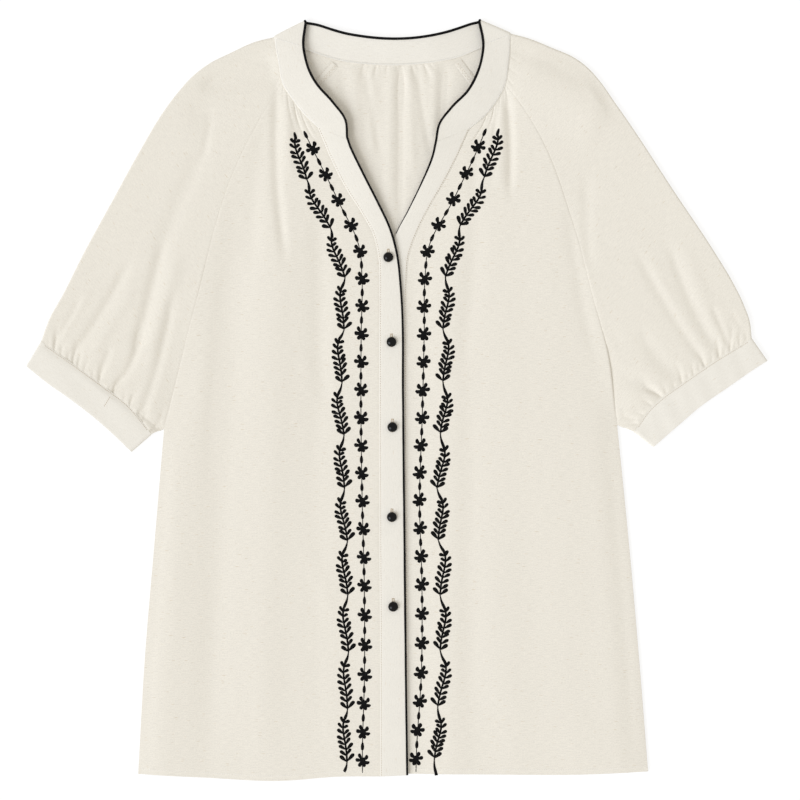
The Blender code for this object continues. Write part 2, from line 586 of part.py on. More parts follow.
def cuff(name, seam, edge, finish):
    """A flattened ring of doubled cloth. Each row goes once round: across the front, round the
    inner fold, back across the underside and round the outer fold."""
    seam, edge = evenly(seam, CUFF_COLUMNS), evenly(edge, CUFF_COLUMNS)
    low, high = DOUBLE / 2, FRONT_LIFT + CLOTH / 2
    radius, centre = (high - low) / 2, (high + low) / 2
    angles = half_turn()
    crown = CUFF_CROWN * np.sin(np.linspace(0, math.pi, CUFF_COLUMNS))
    turn = centre + radius * np.sin(angles)
    z = np.concatenate([high + crown, turn, np.full(CUFF_COLUMNS, low), turn[::-1]])
    outer, inner = [], []
    for share in (0.0, 0.5, 1.0):
        line = seam * (1 - share) + edge * share
        across = unit(line[-1] - line[0])
        line = line + across * radius * np.linspace(1, -1, CUFF_COLUMNS)[:, None]
        reach = across * radius * np.cos(angles)[:, None]
        plan = np.concatenate([line, line[-1] + reach, line[::-1], line[0] - reach])
        wrapped = np.concatenate([plan[-1:], plan, plan[:1]]), np.concatenate([z[-1:], z, z[:1]])
        faces = offset(*wrapped, np.tile(across, (len(z) + 2, 1)), DOUBLE / 2)
        outer.append(faces[0][1:-1])
        inner.append(faces[1][1:-1])
    outer, inner = np.array(outer), np.array(inner)
    pull(outer, 0, 1)
    pull(inner, 0, 1)
    wall(name, outer, inner, finish, ring=True)


def piping(path, finish):
    """A thin round cord along the neck edge and down the right placket."""
    run = np.gradient(path, axis=0)
    run = run / np.linalg.norm(run, axis=1, keepdims=True)
    aside = np.array([1.0, 0.0, 0.0])
    rings = []
    for place, forward in zip(path, run):
        aside = aside - forward * (aside @ forward)
        aside = aside / np.linalg.norm(aside)
        other = np.cross(forward, aside)
        turn = np.linspace(0, 2 * math.pi, CORD_SIDES, endpoint=False)[:, None]
        rings.append(place + PIPING_RADIUS * (np.cos(turn) * aside + np.sin(turn) * other))
    last = (len(path) - 1) * CORD_SIDES
    faces = [tuple(range(CORD_SIDES)), tuple(range(last, last + CORD_SIDES))]
    for start in range(0, last, CORD_SIDES):
        for i in range(CORD_SIDES):
            a, b = start + i, start + (i + 1) % CORD_SIDES
            faces.append((a, b, b + CORD_SIDES, a + CORD_SIDES))
    add_mesh("piping", np.concatenate(rings), faces, finish)


def buttons(finish):
    """Domed shank buttons, which sit on the right placket. One mesh is turned from the profile."""
    turn = np.linspace(0, 2 * math.pi, BUTTON_SIDES, endpoint=False)
    circle = np.column_stack([np.cos(turn), np.sin(turn)]) * BUTTON_RADIUS
    rings = []
    for radius, height in BUTTON_PROFILE:
        rings.append(np.column_stack([circle * radius, np.full(BUTTON_SIDES, BUTTON_HEIGHT * height)]))
    last = (len(rings) - 1) * BUTTON_SIDES
    faces = [tuple(range(BUTTON_SIDES)), tuple(range(last, last + BUTTON_SIDES))]
    for start in range(0, last, BUTTON_SIDES):
        for i in range(BUTTON_SIDES):
            a, b = start + i, start + (i + 1) % BUTTON_SIDES
            faces.append((a, b, b + BUTTON_SIDES, a + BUTTON_SIDES))
    for number, (x, y) in enumerate(BUTTONS, 1):
        made = add_mesh(f"button_{number}", np.concatenate(rings), faces, finish)
        made.location = (x, y, PLACKET_TOP + GAP)


def piping_path(band, right, left):
    """Up the right placket, round the band and down the left placket, to where it is tucked under."""
    tucked = left[: (TUCKED_ROWS - 1) * STRIP_SPLITS + 1, 3:]
    return np.concatenate([right[::-1][:-1, 3:], band[:, 3:], tucked[1:]])


def main():
    for old in list(bpy.data.objects):
        bpy.data.objects.remove(old)
    cloth = material("ivory cloth", IVORY, 0.85)
    faced = material("ivory facing", IVORY, 0.80)
    cord = material("black cord", BLACK, 0.60)
    gloss = material("black gloss", BLACK, 0.12)

    band = band_sections()
    neck_band(band, faced)
    right = placket("placket_right", PLACKET_RIGHT, faced)
    left = placket("placket_left", PLACKET_LEFT, faced)
    back_panel(cloth)

    to_joint = len(BAND_RIGHT) - 1
    neck = neck_seam(BAND_RIGHT, RAGLAN_ROW_RIGHT, 0, FRONT_COLUMNS)
    front_panel("front_right", RAGLAN_FRONT_RIGHT, SIDE_RIGHT, HEM_RIGHT, neck, PLACKET_RIGHT, cloth)
    neck = neck_seam(BAND_LEFT, RAGLAN_ROW_LEFT, to_joint, FRONT_COLUMNS)
    front_panel("front_left", RAGLAN_FRONT_LEFT, SIDE_LEFT, HEM_LEFT, neck, PLACKET_LEFT, cloth)

    necks = (
        neck_seam(BAND_RIGHT, RAGLAN_ROW_RIGHT, to_joint, SLEEVE_FRONT_COLUMNS),
        neck_seam(BAND_BACK, 0, BACK_RAGLAN_ROWS[0], SLEEVE_BACK_COLUMNS),
    )
    raglans = (RAGLAN_FRONT_RIGHT, RAGLAN_BACK_RIGHT)
    sleeve("sleeve_right", raglans, SHOULDER_RIGHT, CUFF_SEAM_RIGHT, necks, FOLD_OUT_RIGHT, cloth)
    necks = (
        neck_seam(BAND_LEFT, RAGLAN_ROW_LEFT, 0, SLEEVE_FRONT_COLUMNS),
        neck_seam(BAND_BACK, len(BAND_BACK) - 1, BACK_RAGLAN_ROWS[1], SLEEVE_BACK_COLUMNS),
    )
    raglans = (RAGLAN_FRONT_LEFT, RAGLAN_BACK_LEFT)
    sleeve("sleeve_left", raglans, SHOULDER_LEFT, CUFF_SEAM_LEFT, necks, FOLD_OUT_LEFT, cloth)
    cuff("cuff_right", CUFF_SEAM_RIGHT, CUFF_EDGE_RIGHT, faced)
    cuff("cuff_left", CUFF_SEAM_LEFT, CUFF_EDGE_LEFT, faced)
    piping(piping_path(band, right, left), cord)
    buttons(gloss)


main()
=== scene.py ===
"""The looks of the embroidered blouse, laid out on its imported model.

Units are metres, in the model's own frame: +Z up from the surface, +Y to the neck and +X to the
wearer's left. "Right" and "left" are the wearer's. Each cloth piece is a thin shell on its solid's
form, built from the same seams, with finer folds and gathers.
Tables made with tenths() are written in tenths of a millimetre.
"""

import math
from types import SimpleNamespace

import bpy
import numpy as np
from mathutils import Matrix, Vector
from mathutils.bvhtree import BVHTree


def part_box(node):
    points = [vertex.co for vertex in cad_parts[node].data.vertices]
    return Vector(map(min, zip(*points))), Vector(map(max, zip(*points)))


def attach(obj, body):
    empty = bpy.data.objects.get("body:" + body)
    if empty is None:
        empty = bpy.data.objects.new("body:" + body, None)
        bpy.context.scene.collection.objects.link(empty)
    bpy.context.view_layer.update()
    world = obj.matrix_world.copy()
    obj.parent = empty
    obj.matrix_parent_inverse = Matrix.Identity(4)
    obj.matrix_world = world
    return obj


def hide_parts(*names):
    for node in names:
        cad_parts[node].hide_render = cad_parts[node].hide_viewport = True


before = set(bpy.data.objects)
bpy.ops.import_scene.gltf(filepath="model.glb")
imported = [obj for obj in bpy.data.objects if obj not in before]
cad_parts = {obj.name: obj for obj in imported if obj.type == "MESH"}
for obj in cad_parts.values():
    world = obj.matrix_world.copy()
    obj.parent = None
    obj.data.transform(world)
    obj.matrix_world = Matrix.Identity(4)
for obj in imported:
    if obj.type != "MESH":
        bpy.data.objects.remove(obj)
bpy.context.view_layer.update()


def tenths(*rows):
    """A table in metres, from rows in tenths of a millimetre."""
    return np.array(rows) / 10000


# Cloth. The solids are thicker than the real cloth, so each shell lies at its solid's upper face.
CLOTH = 0.0007
DOUBLE = 0.0011
SOLID_CLOTH = 0.0012
SOLID_DOUBLE = 0.0016
LAYER = 0.0015  # underside of cloth that lies on the back, in the solids
FRONT_LIFT = 0.0040  # underside of the fronts, in the solids
EASY_HEIGHT = FRONT_LIFT + 0.0002  # and of the sleeves
SIDE_ROLL = 0.034  # over this distance from a side seam the cloth rises to its full height
FOLD_START = 0.014  # low down, folds begin over this distance from the side
SEAM_DROP = 0.60  # share of a raglan seam above the point where it sinks towards the underarm
EDGE_ROLL = 0.0012  # over this distance the edge of a front turns down to its seam
NECK_RISE = 0.040  # over this distance a front comes up or down to its placket
CUFF_RISE = 0.012  # over this distance the underarm comes up to the cuff's height
FLOOR_GAP = 0.0002  # between the surface that the blouse lies on and its lowest cloth
SEAM_ROLL = (0.00018, 0.0010)  # how deep cloth dips into a seam, and over what distance
TUCK_REACH = 0.0008  # an edge goes on this far under its neighbour, that much lower
TUCK_DROP = 0.0005
FOLD_REACH = 0.5  # a pressed fold is narrower than a round one by this share
HEM_WIDTH = 0.0052
HEM_STEP = 0.00032  # the cloth steps down by this at the hem's stitches
HEM_STEP_RUN = 0.0013
STRIP_PUFF = 0.00030  # how far a faced strip is padded between its seam and its edge
BAND_UNEVEN = 0.00022  # height of the slight waves in doubled cloth
CUFF_UNEVEN = 0.00028
PLACKET_UNEVEN = 0.00010

# Meshes: how large a piece is taken to be, the step between its points, and zones of rows from its
# top, each as the distance where it ends and its step
PANEL_LENGTH = 0.70
FRONT_WIDTH, FRONT_STEP = 0.16, 0.0013
FRONT_ZONES = (0.07, 0.0022), (0.690, 0.0048), (0.70, 0.0009)
BACK_WIDTH, BACK_STEP = 0.30, 0.0015
BACK_ZONES = (0.05, 0.0018), (0.18, 0.0036), (0.70, 0.0120)
SLEEVE_LENGTH = 0.42
SLEEVE_WIDTH, SLEEVE_STEP, SLEEVE_UNDER_STEP = 0.20, 0.0015, 0.0046
SLEEVE_ZONES = (0.03, 0.0030), (0.34, 0.0048), (0.42, 0.0020)
FOLD_STEPS = 7  # steps round the fold of a sleeve or a cuff
BAND_FOLD_STEPS = 8
BAND_SIDE, BAND_BEHIND = 0.13, 0.25
CUFF_LENGTH, CUFF_WIDTH = 0.14, 0.030
STRIP_WIDTH, STRIP_STEP = 0.028, 0.0022
PLACKET_LENGTH, PLACKET_STEP = 0.72, 0.0026
FLOOR_SIZE = 6.0
FLOOR_DEPTH = 0.0001

# Camera and light
VIEW_CENTRE = (0.0030, 0.0005, 0.0040)
VIEW_WIDTH = 0.800
LENS_MM = 100.0
SENSOR_MM = 36.0
WORLD_LIGHT = 0.69
WORLD_COLOUR = (1.0, 0.975, 0.926)
KEY_LIGHT = 1.58
KEY_COLOUR = (1.0, 1.050, 1.155)
KEY_SPREAD = 40.0  # degrees across: a soft source
KEY_FROM = (-0.68, -0.35, 0.62)

# The two sides of the blouse, as the wearer's. Lines in plan are x, y.
# out: the sign of x on that side
# band, placket: a row for each section, seam_x, seam_y, seam_z, edge_x, edge_y, edge_z. Heights are
#   of the middle of the solid's wall.
# band_row, band_ends: rows of the band at the front raglan seam, the placket and the shoulder
# back_rows: rows of BAND_BACK at the shoulder and at the back raglan seam
# band_out: which way the fold of the band at the shoulder points
# edge_drop: share of the raglan seam down which the front's edge stays up. The left front stays up
#   further, and stands over its sleeve.
# neck_gathers, cuff_gathers: share of the seam, depth, reach, and how far to the side they lean
# chain: number of a flower, x, y. The chain of flowers runs smoothly through these.
# vine, vine_tail: tip_x, tip_y, base_x, base_y for each sprig, and the x, y where the vine ends
RIGHT = SimpleNamespace(
    name="right",
    out=-1,
    band_ends=(0, 7),
    back_rows=(0, 3),
    edge_drop=0.60,
    band=tenths(
        (-795, 2735, 50, -497, 2605, 90), (-872, 2803, 50, -516, 2800, 92),
        (-945, 2877, 50, -636, 2970, 90), (-1043, 3005, 50, -795, 3150, 85),
        (-1151, 3176, 50, -880, 3302, 78), (-1182, 3340, 50, -918, 3428, 70),
        (-1209, 3485, 50, -937, 3570, 64), (-1226, 3611, 50, -912, 3778, 60),
    ),
    band_row=4,
    band_out=np.array([-0.465, 0.886]),
    placket=tenths(
        (-795, 2735, 50, -497, 2605, 90), (-665, 2425, 50, -450, 2495, 86),
        (-512, 2122, 50, -318, 2225, 76), (-350, 1865, 50, -188, 1970, 66),
        (-240, 1660, 49, -70, 1715, 56), (-188, 1440, 48, -4, 1480, 50),
        (-178, 1150, 48, 34, 1160, 48), (-180, 700, 48, 57, 700, 47), (-180, 200, 48, 58, 200, 47),
        (-180, -275, 48, 62, -275, 47), (-176, -1450, 48, 74, -1450, 47),
        (-170, -2600, 48, 86, -2600, 47), (-170, -3758, 48, 101, -3745, 47),
    ),
    raglan=tenths(
        (-1151, 3176), (-1419, 2729), (-1661, 2219), (-1827, 1709), (-1980, 1120), (-2120, 560),
        (-2240, 80), (-2330, -275),
    ),
    raglan_back=tenths(
        (-642, 3416), (-930, 3080), (-1270, 2570), (-1560, 2050), (-1800, 1480), (-2010, 880),
        (-2190, 280), (-2330, -275),
    ),
    side_seam=tenths((-2330, -275), (-2427, -1424), (-2521, -2545), (-2590, -3736)),
    hem=tenths((-2590, -3736), (-1930, -3771), (-1138, -3801), (-577, -3760), (-170, -3758)),
    shoulder=tenths(
        (-1236, 3630), (-1419, 3584), (-1674, 3469), (-1878, 3367), (-2031, 3252), (-2184, 3087),
        (-2337, 2883), (-2567, 2500), (-2848, 1990), (-3154, 1428), (-3332, 1071), (-3485, 791),
        (-3556, 592),
    ),
    cuff_seam=tenths(
        (-3556, 592), (-3260, 383), (-2882, 107), (-2690, -40), (-2546, -209), (-2454, -332),
    ),
    cuff_edge=tenths(
        (-3704, 342), (-3515, 189), (-3260, 10), (-3005, -189), (-2821, -352), (-2658, -510),
    ),
    neck_gathers=(
        (0.07, 0.0005, 0.012, 0.8), (0.20, 0.0009, 0.022, 1.0), (0.26, 0.0004, 0.008, 1.3),
        (0.40, 0.0010, 0.026, 0.9), (0.47, 0.0004, 0.009, 1.4), (0.585, 0.0009, 0.020, 1.1),
        (0.64, 0.0003, 0.007, 1.3), (0.78, 0.0004, 0.009, 1.1),
    ),
    cuff_gathers=(
        (0.02, 0.0018, 0.018, 0.1), (0.11, 0.0013, 0.012, 0.2), (0.17, 0.0013, 0.018, -0.1),
        (0.25, 0.0015, 0.022, 0.2), (0.31, 0.0007, 0.010, 0.0), (0.40, 0.0019, 0.026, 0.0),
        (0.435, 0.0010, 0.012, -0.3), (0.52, 0.0015, 0.030, 0.1), (0.58, 0.0009, 0.010, 0.0),
        (0.65, 0.0010, 0.014, -0.1), (0.70, 0.0013, 0.020, 0.1), (0.745, 0.0015, 0.030, 0.1),
        (0.79, 0.0010, 0.012, -0.1), (0.845, 0.0011, 0.014, 0.1), (0.90, 0.0014, 0.032, 0.2),
        (0.955, 0.0006, 0.008, 0.0),
    ),
    chain=(
        (-0.6, -0.0930, 0.2690), (0, -0.0845, 0.2518), (2, -0.0592, 0.2005), (4, -0.0370, 0.1497),
        (5, -0.0350, 0.1222), (7, -0.0358, 0.0672), (10, -0.0360, -0.0170), (13, -0.0348, -0.1000),
        (16, -0.0327, -0.1845), (19, -0.0325, -0.2738), (22, -0.0346, -0.3595),
        (22.5, -0.0345, -0.3725),
    ),
    vine=tenths(
        (-1014, 2632, -900, 2205), (-878, 2125, -665, 1725), (-650, 1645, -520, 1230),
        (-545, 1145, -530, 705), (-570, 625, -550, 180), (-582, 75, -530, -345),
        (-555, -445, -525, -875), (-550, -975, -495, -1405), (-530, -1505, -492, -1945),
        (-520, -2045, -485, -2515), (-510, -2605, -495, -3085), (-515, -3165, -500, -3615),
    ),
    vine_tail=(-0.0520, -0.3695),
)
LEFT = SimpleNamespace(
    name="left",
    out=1,
    band_ends=(7, 0),
    back_rows=(12, 9),
    edge_drop=0.84,
    band=tenths(
        (1135, 3646, 50, 822, 3786, 60), (1132, 3500, 50, 862, 3580, 64),
        (1115, 3330, 50, 846, 3410, 70), (1089, 3163, 50, 800, 3262, 78),
        (1000, 2990, 50, 705, 3088, 85), (880, 2840, 50, 540, 2918, 90),
        (808, 2777, 50, 424, 2760, 92), (728, 2719, 50, 388, 2580, 88),
    ),
    band_row=3,
    band_out=np.array([0.405, 0.914]),
    placket=tenths(
        (728, 2719, 50, 388, 2580, 88), (610, 2450, 48, 350, 2420, 72), (480, 2200, 43, 245, 2170, 54),
        (330, 1940, 36, 118, 1910, 36), (200, 1680, 29, -10, 1660, 26), (124, 1460, 24, -78, 1440, 23),
        (100, 1150, 23, -130, 1130, 23), (96, 700, 23, -155, 700, 23), (98, 200, 23, -155, 200, 23),
        (100, -275, 23, -155, -275, 23), (106, -1450, 23, -150, -1450, 23),
        (112, -2600, 23, -145, -2600, 23), (120, -3735, 23, -140, -3725, 23),
    ),
    raglan=tenths(
        (1089, 3163), (1306, 2857), (1522, 2449), (1688, 1990), (1841, 1505), (1982, 969), (2109, 500),
        (2202, -235),
    ),
    raglan_back=tenths(
        (636, 3439), (900, 3080), (1210, 2570), (1480, 2050), (1700, 1480), (1900, 880), (2070, 280),
        (2202, -235),
    ),
    side_seam=tenths((2202, -235), (2339, -1628), (2440, -2800), (2512, -3712)),
    hem=tenths((2512, -3712), (1816, -3740), (1050, -3740), (500, -3737), (120, -3735)),
    shoulder=tenths(
        (1144, 3665), (1306, 3622), (1561, 3520), (1765, 3431), (1918, 3316), (2020, 3201),
        (2173, 2985), (2351, 2729), (2760, 2104), (3168, 1492), (3346, 1199), (3461, 969), (3525, 791),
        (3545, 620),
    ),
    cuff_seam=tenths(
        (3545, 620), (3178, 397), (2834, 161), (2650, 29), (2524, -86), (2369, -309),
    ),
    cuff_edge=tenths(
        (3700, 397), (3557, 305), (3293, 121), (3029, -63), (2834, -229), (2564, -464),
    ),
    neck_gathers=(
        (0.05, 0.0007, 0.016, 0.6), (0.12, 0.0004, 0.009, 0.9), (0.25, 0.0006, 0.012, 1.0),
        (0.31, 0.0004, 0.008, 1.3), (0.43, 0.0010, 0.018, 0.9), (0.50, 0.0004, 0.009, 1.2),
        (0.62, 0.0010, 0.024, 1.1), (0.69, 0.0003, 0.008, 1.3),
    ),
    cuff_gathers=(
        (0.06, 0.0010, 0.016, -0.6), (0.13, 0.0008, 0.014, -0.4), (0.21, 0.0009, 0.016, -0.3),
        (0.295, 0.0014, 0.034, -0.35), (0.335, 0.0007, 0.012, 0.0), (0.40, 0.0006, 0.010, -0.1),
        (0.46, 0.0011, 0.028, 0.1), (0.51, 0.0006, 0.009, 0.0), (0.555, 0.0009, 0.016, 0.0),
        (0.60, 0.0005, 0.010, 0.1), (0.645, 0.0012, 0.028, -0.2), (0.70, 0.0007, 0.012, 0.1),
        (0.755, 0.0013, 0.032, 0.1), (0.80, 0.0006, 0.010, 0.0), (0.84, 0.0011, 0.030, 0.3),
        (0.88, 0.0006, 0.012, 0.1), (0.915, 0.0009, 0.016, 0.1), (0.97, 0.0010, 0.020, 0.1),
    ),
    chain=(
        (-0.6, 0.0890, 0.2715), (0, 0.0818, 0.2541), (2, 0.0568, 0.2015), (4, 0.0308, 0.1497),
        (5, 0.0280, 0.1222), (7, 0.0272, 0.0669), (10, 0.0252, -0.0170), (13, 0.0226, -0.0990),
        (16, 0.0249, -0.1837), (19, 0.0244, -0.2718), (22, 0.0193, -0.3580), (22.5, 0.0190, -0.3720),
    ),
    vine=tenths(
        (1004, 2668, 872, 2232), (846, 2130, 630, 1747), (622, 1658, 484, 1237), (502, 1135, 459, 715),
        (497, 612, 459, 191), (489, 75, 433, -325), (464, -455, 400, -875), (438, -975, 413, -1395),
        (464, -1500, 431, -1945), (469, -2061, 431, -2495), (476, -2610, 408, -3055),
        (425, -3171, 374, -3579),
    ),
    vine_tail=(0.0387, -0.3715),
)
SIDES = RIGHT, LEFT

# The back part of the neck band, with the same columns
BAND_BACK = tenths(
    (-1226, 3611, 8, -912, 3778, 26), (-1060, 3562, 10, -800, 3757, 34),
    (-850, 3486, 14, -655, 3710, 45), (-642, 3416, 17, -510, 3668, 55),
    (-445, 3376, 18, -355, 3640, 62), (-225, 3357, 18, -180, 3620, 65), (0, 3352, 18, 0, 3614, 66),
    (225, 3364, 18, 180, 3624, 65), (437, 3393, 18, 345, 3648, 62), (636, 3439, 17, 500, 3684, 55),
    (810, 3514, 14, 630, 3726, 45), (985, 3590, 10, 740, 3765, 34), (1135, 3646, 8, 822, 3786, 26),
)
BACK_RAGLAN_ROWS = (3, 9)
BAND_FOLD_RADIUS = (RIGHT.band[-1][2] - BAND_BACK[0][2]) / 2
TUCKED_ROWS = 5  # rows of the left placket's edge that carry piping, the last one tucked under

BACK_HEM = tenths(
    (-2590, -3736), (-1700, -3752), (-800, -3745), (0, -3735), (800, -3725), (1700, -3722),
    (2512, -3712),
)
SLEEVE_UNDERARM_SHARE = 0.85  # share of the shoulder line that lies above the underarm
CUFF_JOIN = tenths((-2862, 45), (-2933, -72))  # a short seam that shows on the right cuff
CUFF_CROWN = 0.0008
SLEEVE_GRAIN = 51.0  # degrees between the weft of a sleeve and straight across

# Rows of the panels are numbered as in the solids: 9 spans down the raglan, then 5 down the side
RAGLAN_SPANS = 9
SIDE_SPANS = 5
UNDER_SPANS = 3
PLACKET_UNDERARM_ROW = 9
LOW_ROW = 7  # from this row down the fronts and sleeves sink towards the underarm and the side

# Folds of the upper layer: start_x, start_y, end_x, end_y, half_width, height, bend.
# A negative height is a trough. The bend is how far its middle lies to the side.
FOLDS = tenths(
    # right front
    (-1200, 3105, -1130, 1500, 50, -18, 40), (-1090, 3000, -1070, 2300, 50, 9, 10),
    (-1000, 2880, -930, 2300, 60, -6, 20), (-1330, 2700, -1440, 1400, 90, -8, 40),
    (-1560, 2050, -1900, -3700, 170, -19, 20), (-1720, 1250, -1880, -900, 90, -6, 40),
    (-1160, 1900, -1350, -3600, 200, 14, 20), (-2200, -500, -2400, -3700, 140, 8, -20),
    (-760, 1500, -780, -3600, 120, -5, 40), (-780, 1900, -760, -200, 100, -10, 0),
    (-900, 400, -700, -300, 80, 4, 0), (-880, -1500, -650, -2100, 80, 4, 20),
    # left front
    (1105, 3030, 1130, 2105, 44, -19, -20), (1000, 2930, 960, 2500, 30, -7, 0),
    (1040, 2900, 1030, 2200, 50, 8, 0), (900, 2800, 760, 2050, 60, -7, 20),
    (790, 1900, 640, 300, 100, -8, -30), (600, 1500, 560, -3600, 110, 5, 0),
    (720, 100, 760, -3600, 130, -6, 0), (1040, 2000, 1130, -3700, 280, 8, 60),
    (1430, 2000, 1780, -3600, 280, 8, 0), (1780, -2300, 1880, -3200, 220, -6, 0),
    (1720, 1950, 1960, 500, 70, -8, 30), (2180, -500, 2360, -3600, 110, -7, 0),
    (980, -3000, 880, -3720, 150, -5, 0),
    # right sleeve
    (-1240, 3375, -1930, 3180, 120, -26, 0), (-1180, 3270, -2030, 2820, 190, -16, 40),
    (-1860, 2855, -1930, 2445, 36, -9, 0), (-1930, 2500, -2340, 1555, 90, -13, 20),
    (-2843, 100, -2570, 695, 42, -19, 60), (-2590, 555, -2340, 1555, 64, -23, 0),
    (-2490, 400, -2200, 1400, 70, 12, 0), (-3260, 415, -2700, 1325, 50, -18, 20),
    (-3030, 480, -2640, 1100, 60, 9, 0), (-3430, 545, -3180, 985, 32, -12, 0),
    (-3360, 620, -3080, 1080, 40, 6, 0), (-2560, -165, -2250, 985, 46, -15, 30),
    (-2410, -295, -2330, -105, 26, -12, 0), (-2996, 227, -2870, 505, 36, -11, 0),
    # left sleeve
    (1200, 3220, 2050, 2830, 290, 28, -50), (1180, 3490, 1900, 3150, 80, -8, -50),
    (1900, 2200, 1930, 1350, 60, -9, 20), (3220, 465, 2740, 1505, 56, -11, -40),
    (3300, 600, 2900, 1500, 70, 5, -40), (3086, 365, 2440, 1405, 56, -10, -20),
    (3010, 560, 2560, 1350, 70, 5, -20), (3520, 625, 3360, 860, 30, -11, 0),
    (3327, 530, 3160, 920, 36, -10, 0), (2180, 560, 2500, 640, 80, -7, 40),
    (2480, 640, 2840, 210, 70, -9, 40), (2400, 400, 2640, 200, 70, 4, 0),
    (2640, 40, 2260, 215, 42, -13, 30), (2390, -200, 2240, -160, 34, -9, 0),
)
FOLD_FADE = 0.30  # share of a fold's length over which each end fades
SHOULDER_FADE = 6.0  # folds fade out over a sixth of a sleeve's width beside its upper fold
GATHER_FADES = (14, 30)  # the same for gathers, beside the upper fold and beside the front seam

# Folds of the back that show inside the neck, with the same columns
BACK_FOLDS = tenths(
    (-320, 3350, -180, 2500, 42, -9, 0), (-260, 3300, -240, 2500, 50, 8, 0),
    (40, 3350, 30, 1850, 42, -13, 0), (-60, 3350, -80, 2000, 56, 9, 0),
    (200, 3350, 330, 2500, 40, -8, 10), (120, 3350, 160, 2300, 46, 7, 0),
    (490, 3350, 440, 2700, 66, -12, 0), (370, 3350, 380, 2700, 46, 7, 0),
    (-560, 3330, -500, 2700, 66, -8, 0), (-430, 3330, -400, 2700, 56, 6, 0),
)

# Gathers: share of the seam, depth, reach, and how far to the side they lean
BACK_GATHERS = (
    (0.245, 0.0008, 0.026, 0.25), (0.285, 0.0003, 0.007, 0.1), (0.343, 0.0009, 0.030, 0.1),
    (0.372, 0.0005, 0.009, 0.2), (0.428, 0.0007, 0.014, 0.0), (0.455, 0.0003, 0.007, 0.1),
    (0.500, 0.0005, 0.010, 0.1), (0.534, 0.0013, 0.060, 0.0), (0.566, 0.0004, 0.008, -0.1),
    (0.618, 0.0008, 0.022, 0.05), (0.652, 0.0004, 0.007, 0.2), (0.712, 0.0009, 0.026, 0.1),
    (0.760, 0.0004, 0.009, 0.2),
)
UNDER_GATHERS = tuple((0.05 + 0.07 * k, 0.0004, 0.012, 0.0) for k in range(13))
HEAD_GATHERS = ((0.12, 0.0004, 0.012, 0.0), (0.34, 0.0003, 0.016, 0.1), (0.58, 0.0004, 0.012, 0.0))

# Flowers
FLOWERS = 23
PETALS = (  # angle in degrees from straight across on the right side, length, width, curl
    (47, 0.0076, 0.0043, -0.0010), (116, 0.0076, 0.0039, 0.0004), (173, 0.0072, 0.0043, 0.0004),
    (244, 0.0075, 0.0041, 0.0000), (292, 0.0075, 0.0039, 0.0000), (342, 0.0080, 0.0041, -0.0011),
)
HEART_WIDTH = 0.0064
DROP_LENGTH = 0.0088
DROP_WIDTH = 0.0036
LINK_WIDTH = 0.0012
LINK_RISE = 0.00022

# Vines
STEM_WIDTH = 0.0023
VINE_BOW = 0.0028  # how far a stem bows to the outside
VINE_TIP = (0.0085, 0.0034)  # length and width of the leaf above the topmost sprig

# Leaves: share of the stem, then length, width, degrees from the stem and curl, for the outer
# leaf and for the inner one
LEAVES = (
    (0.14, 0.0074, 0.0034, 30, 0.0000, 0.0070, 0.0038, 58, 0.0003),
    (0.26, 0.0078, 0.0034, 38, 0.0000, 0.0064, 0.0035, 56, 0.0004),
    (0.385, 0.0087, 0.0037, 46, 0.0000, 0.0077, 0.0036, 50, 0.0004),
    (0.505, 0.0092, 0.0039, 50, 0.0002, 0.0094, 0.0039, 48, 0.0002),
    (0.625, 0.0090, 0.0038, 50, 0.0003, 0.0091, 0.0037, 44, 0.0002),
    (0.745, 0.0090, 0.0038, 50, 0.0003, 0.0100, 0.0039, 44, 0.0002),
    (0.87, 0.0094, 0.0039, 48, 0.0003, 0.0086, 0.0035, 38, 0.0003),
    (1.00, 0.0096, 0.0043, 45, 0.0002, 0.0108, 0.0043, 46, 0.0002),
)
THREAD_RISE = 0.00055
ALLOWANCE = 0.0092  # width of the overlocked seam allowances inside the neck

BUTTON_RADIUS = 0.0050
BUTTON_HEIGHT = 0.0046
BUTTONS = 5
BUTTON_PROFILE = (  # share of the radius, share of the height
    (0.30, -0.12), (0.55, 0.00), (0.82, 0.04), (0.96, 0.14), (1.00, 0.26), (0.985, 0.38), (0.94, 0.50),
    (0.85, 0.63), (0.72, 0.75), (0.56, 0.86), (0.39, 0.935), (0.22, 0.98), (0.08, 1.00),
)
HOLE_LENGTH = 0.0125
HOLE_SHIFT = 0.0016  # the button stands in the lower part of its hole
HOLE_SIDE = 0.0009  # from the middle of a hole to each of its worked edges
HOLE_BAR = 0.0015  # half the length of the bar at each end
HOLE_THREAD = 0.0012  # width of edges and bars
PIPING_RADIUS = 0.00118
PIPING_FULLER = 0.14  # the cord looks thicker round the neck, by this share
PIPING_COVERED = 0.105  # over this length at its lower left end the cord slips under the placket

# Colours, and the weave: cycles in each metre along the weft and along the warp
IVORY = (0.830, 0.788, 0.700)
IVORY_FLECK = (0.83, 0.76, 0.66)
FACING = (0.850, 0.816, 0.740)
FACING_FLECK = (0.90, 0.85, 0.78)
TAN_THREAD = (0.520, 0.440, 0.330)
# Pale topstitching thread, lighter than the cloth: partly the thread's own colour, partly a painted
# highlight for the light line along the band's edges and the hem's step
PALE_THREAD_AND_HIGHLIGHT = (0.90, 0.87, 0.80)
BLACK_THREAD = (0.0042, 0.0040, 0.0042)
BUTTON_BLACK = (0.0030, 0.0028, 0.0030)
FLOOR_GREY = (0.30, 0.30, 0.30)
FLOOR_GLOW = 0.74
WEFT_STREAKS = (130, 1500)
YARNS = (640, 1450)
SLUBS = (150, 1350)
CREASES = (60, 45)
THREADS = (("X", 620.0), ("Y", 560.0))
WAVE_PITCH = 0.314  # a wave texture's scale times this is its pitch in metres

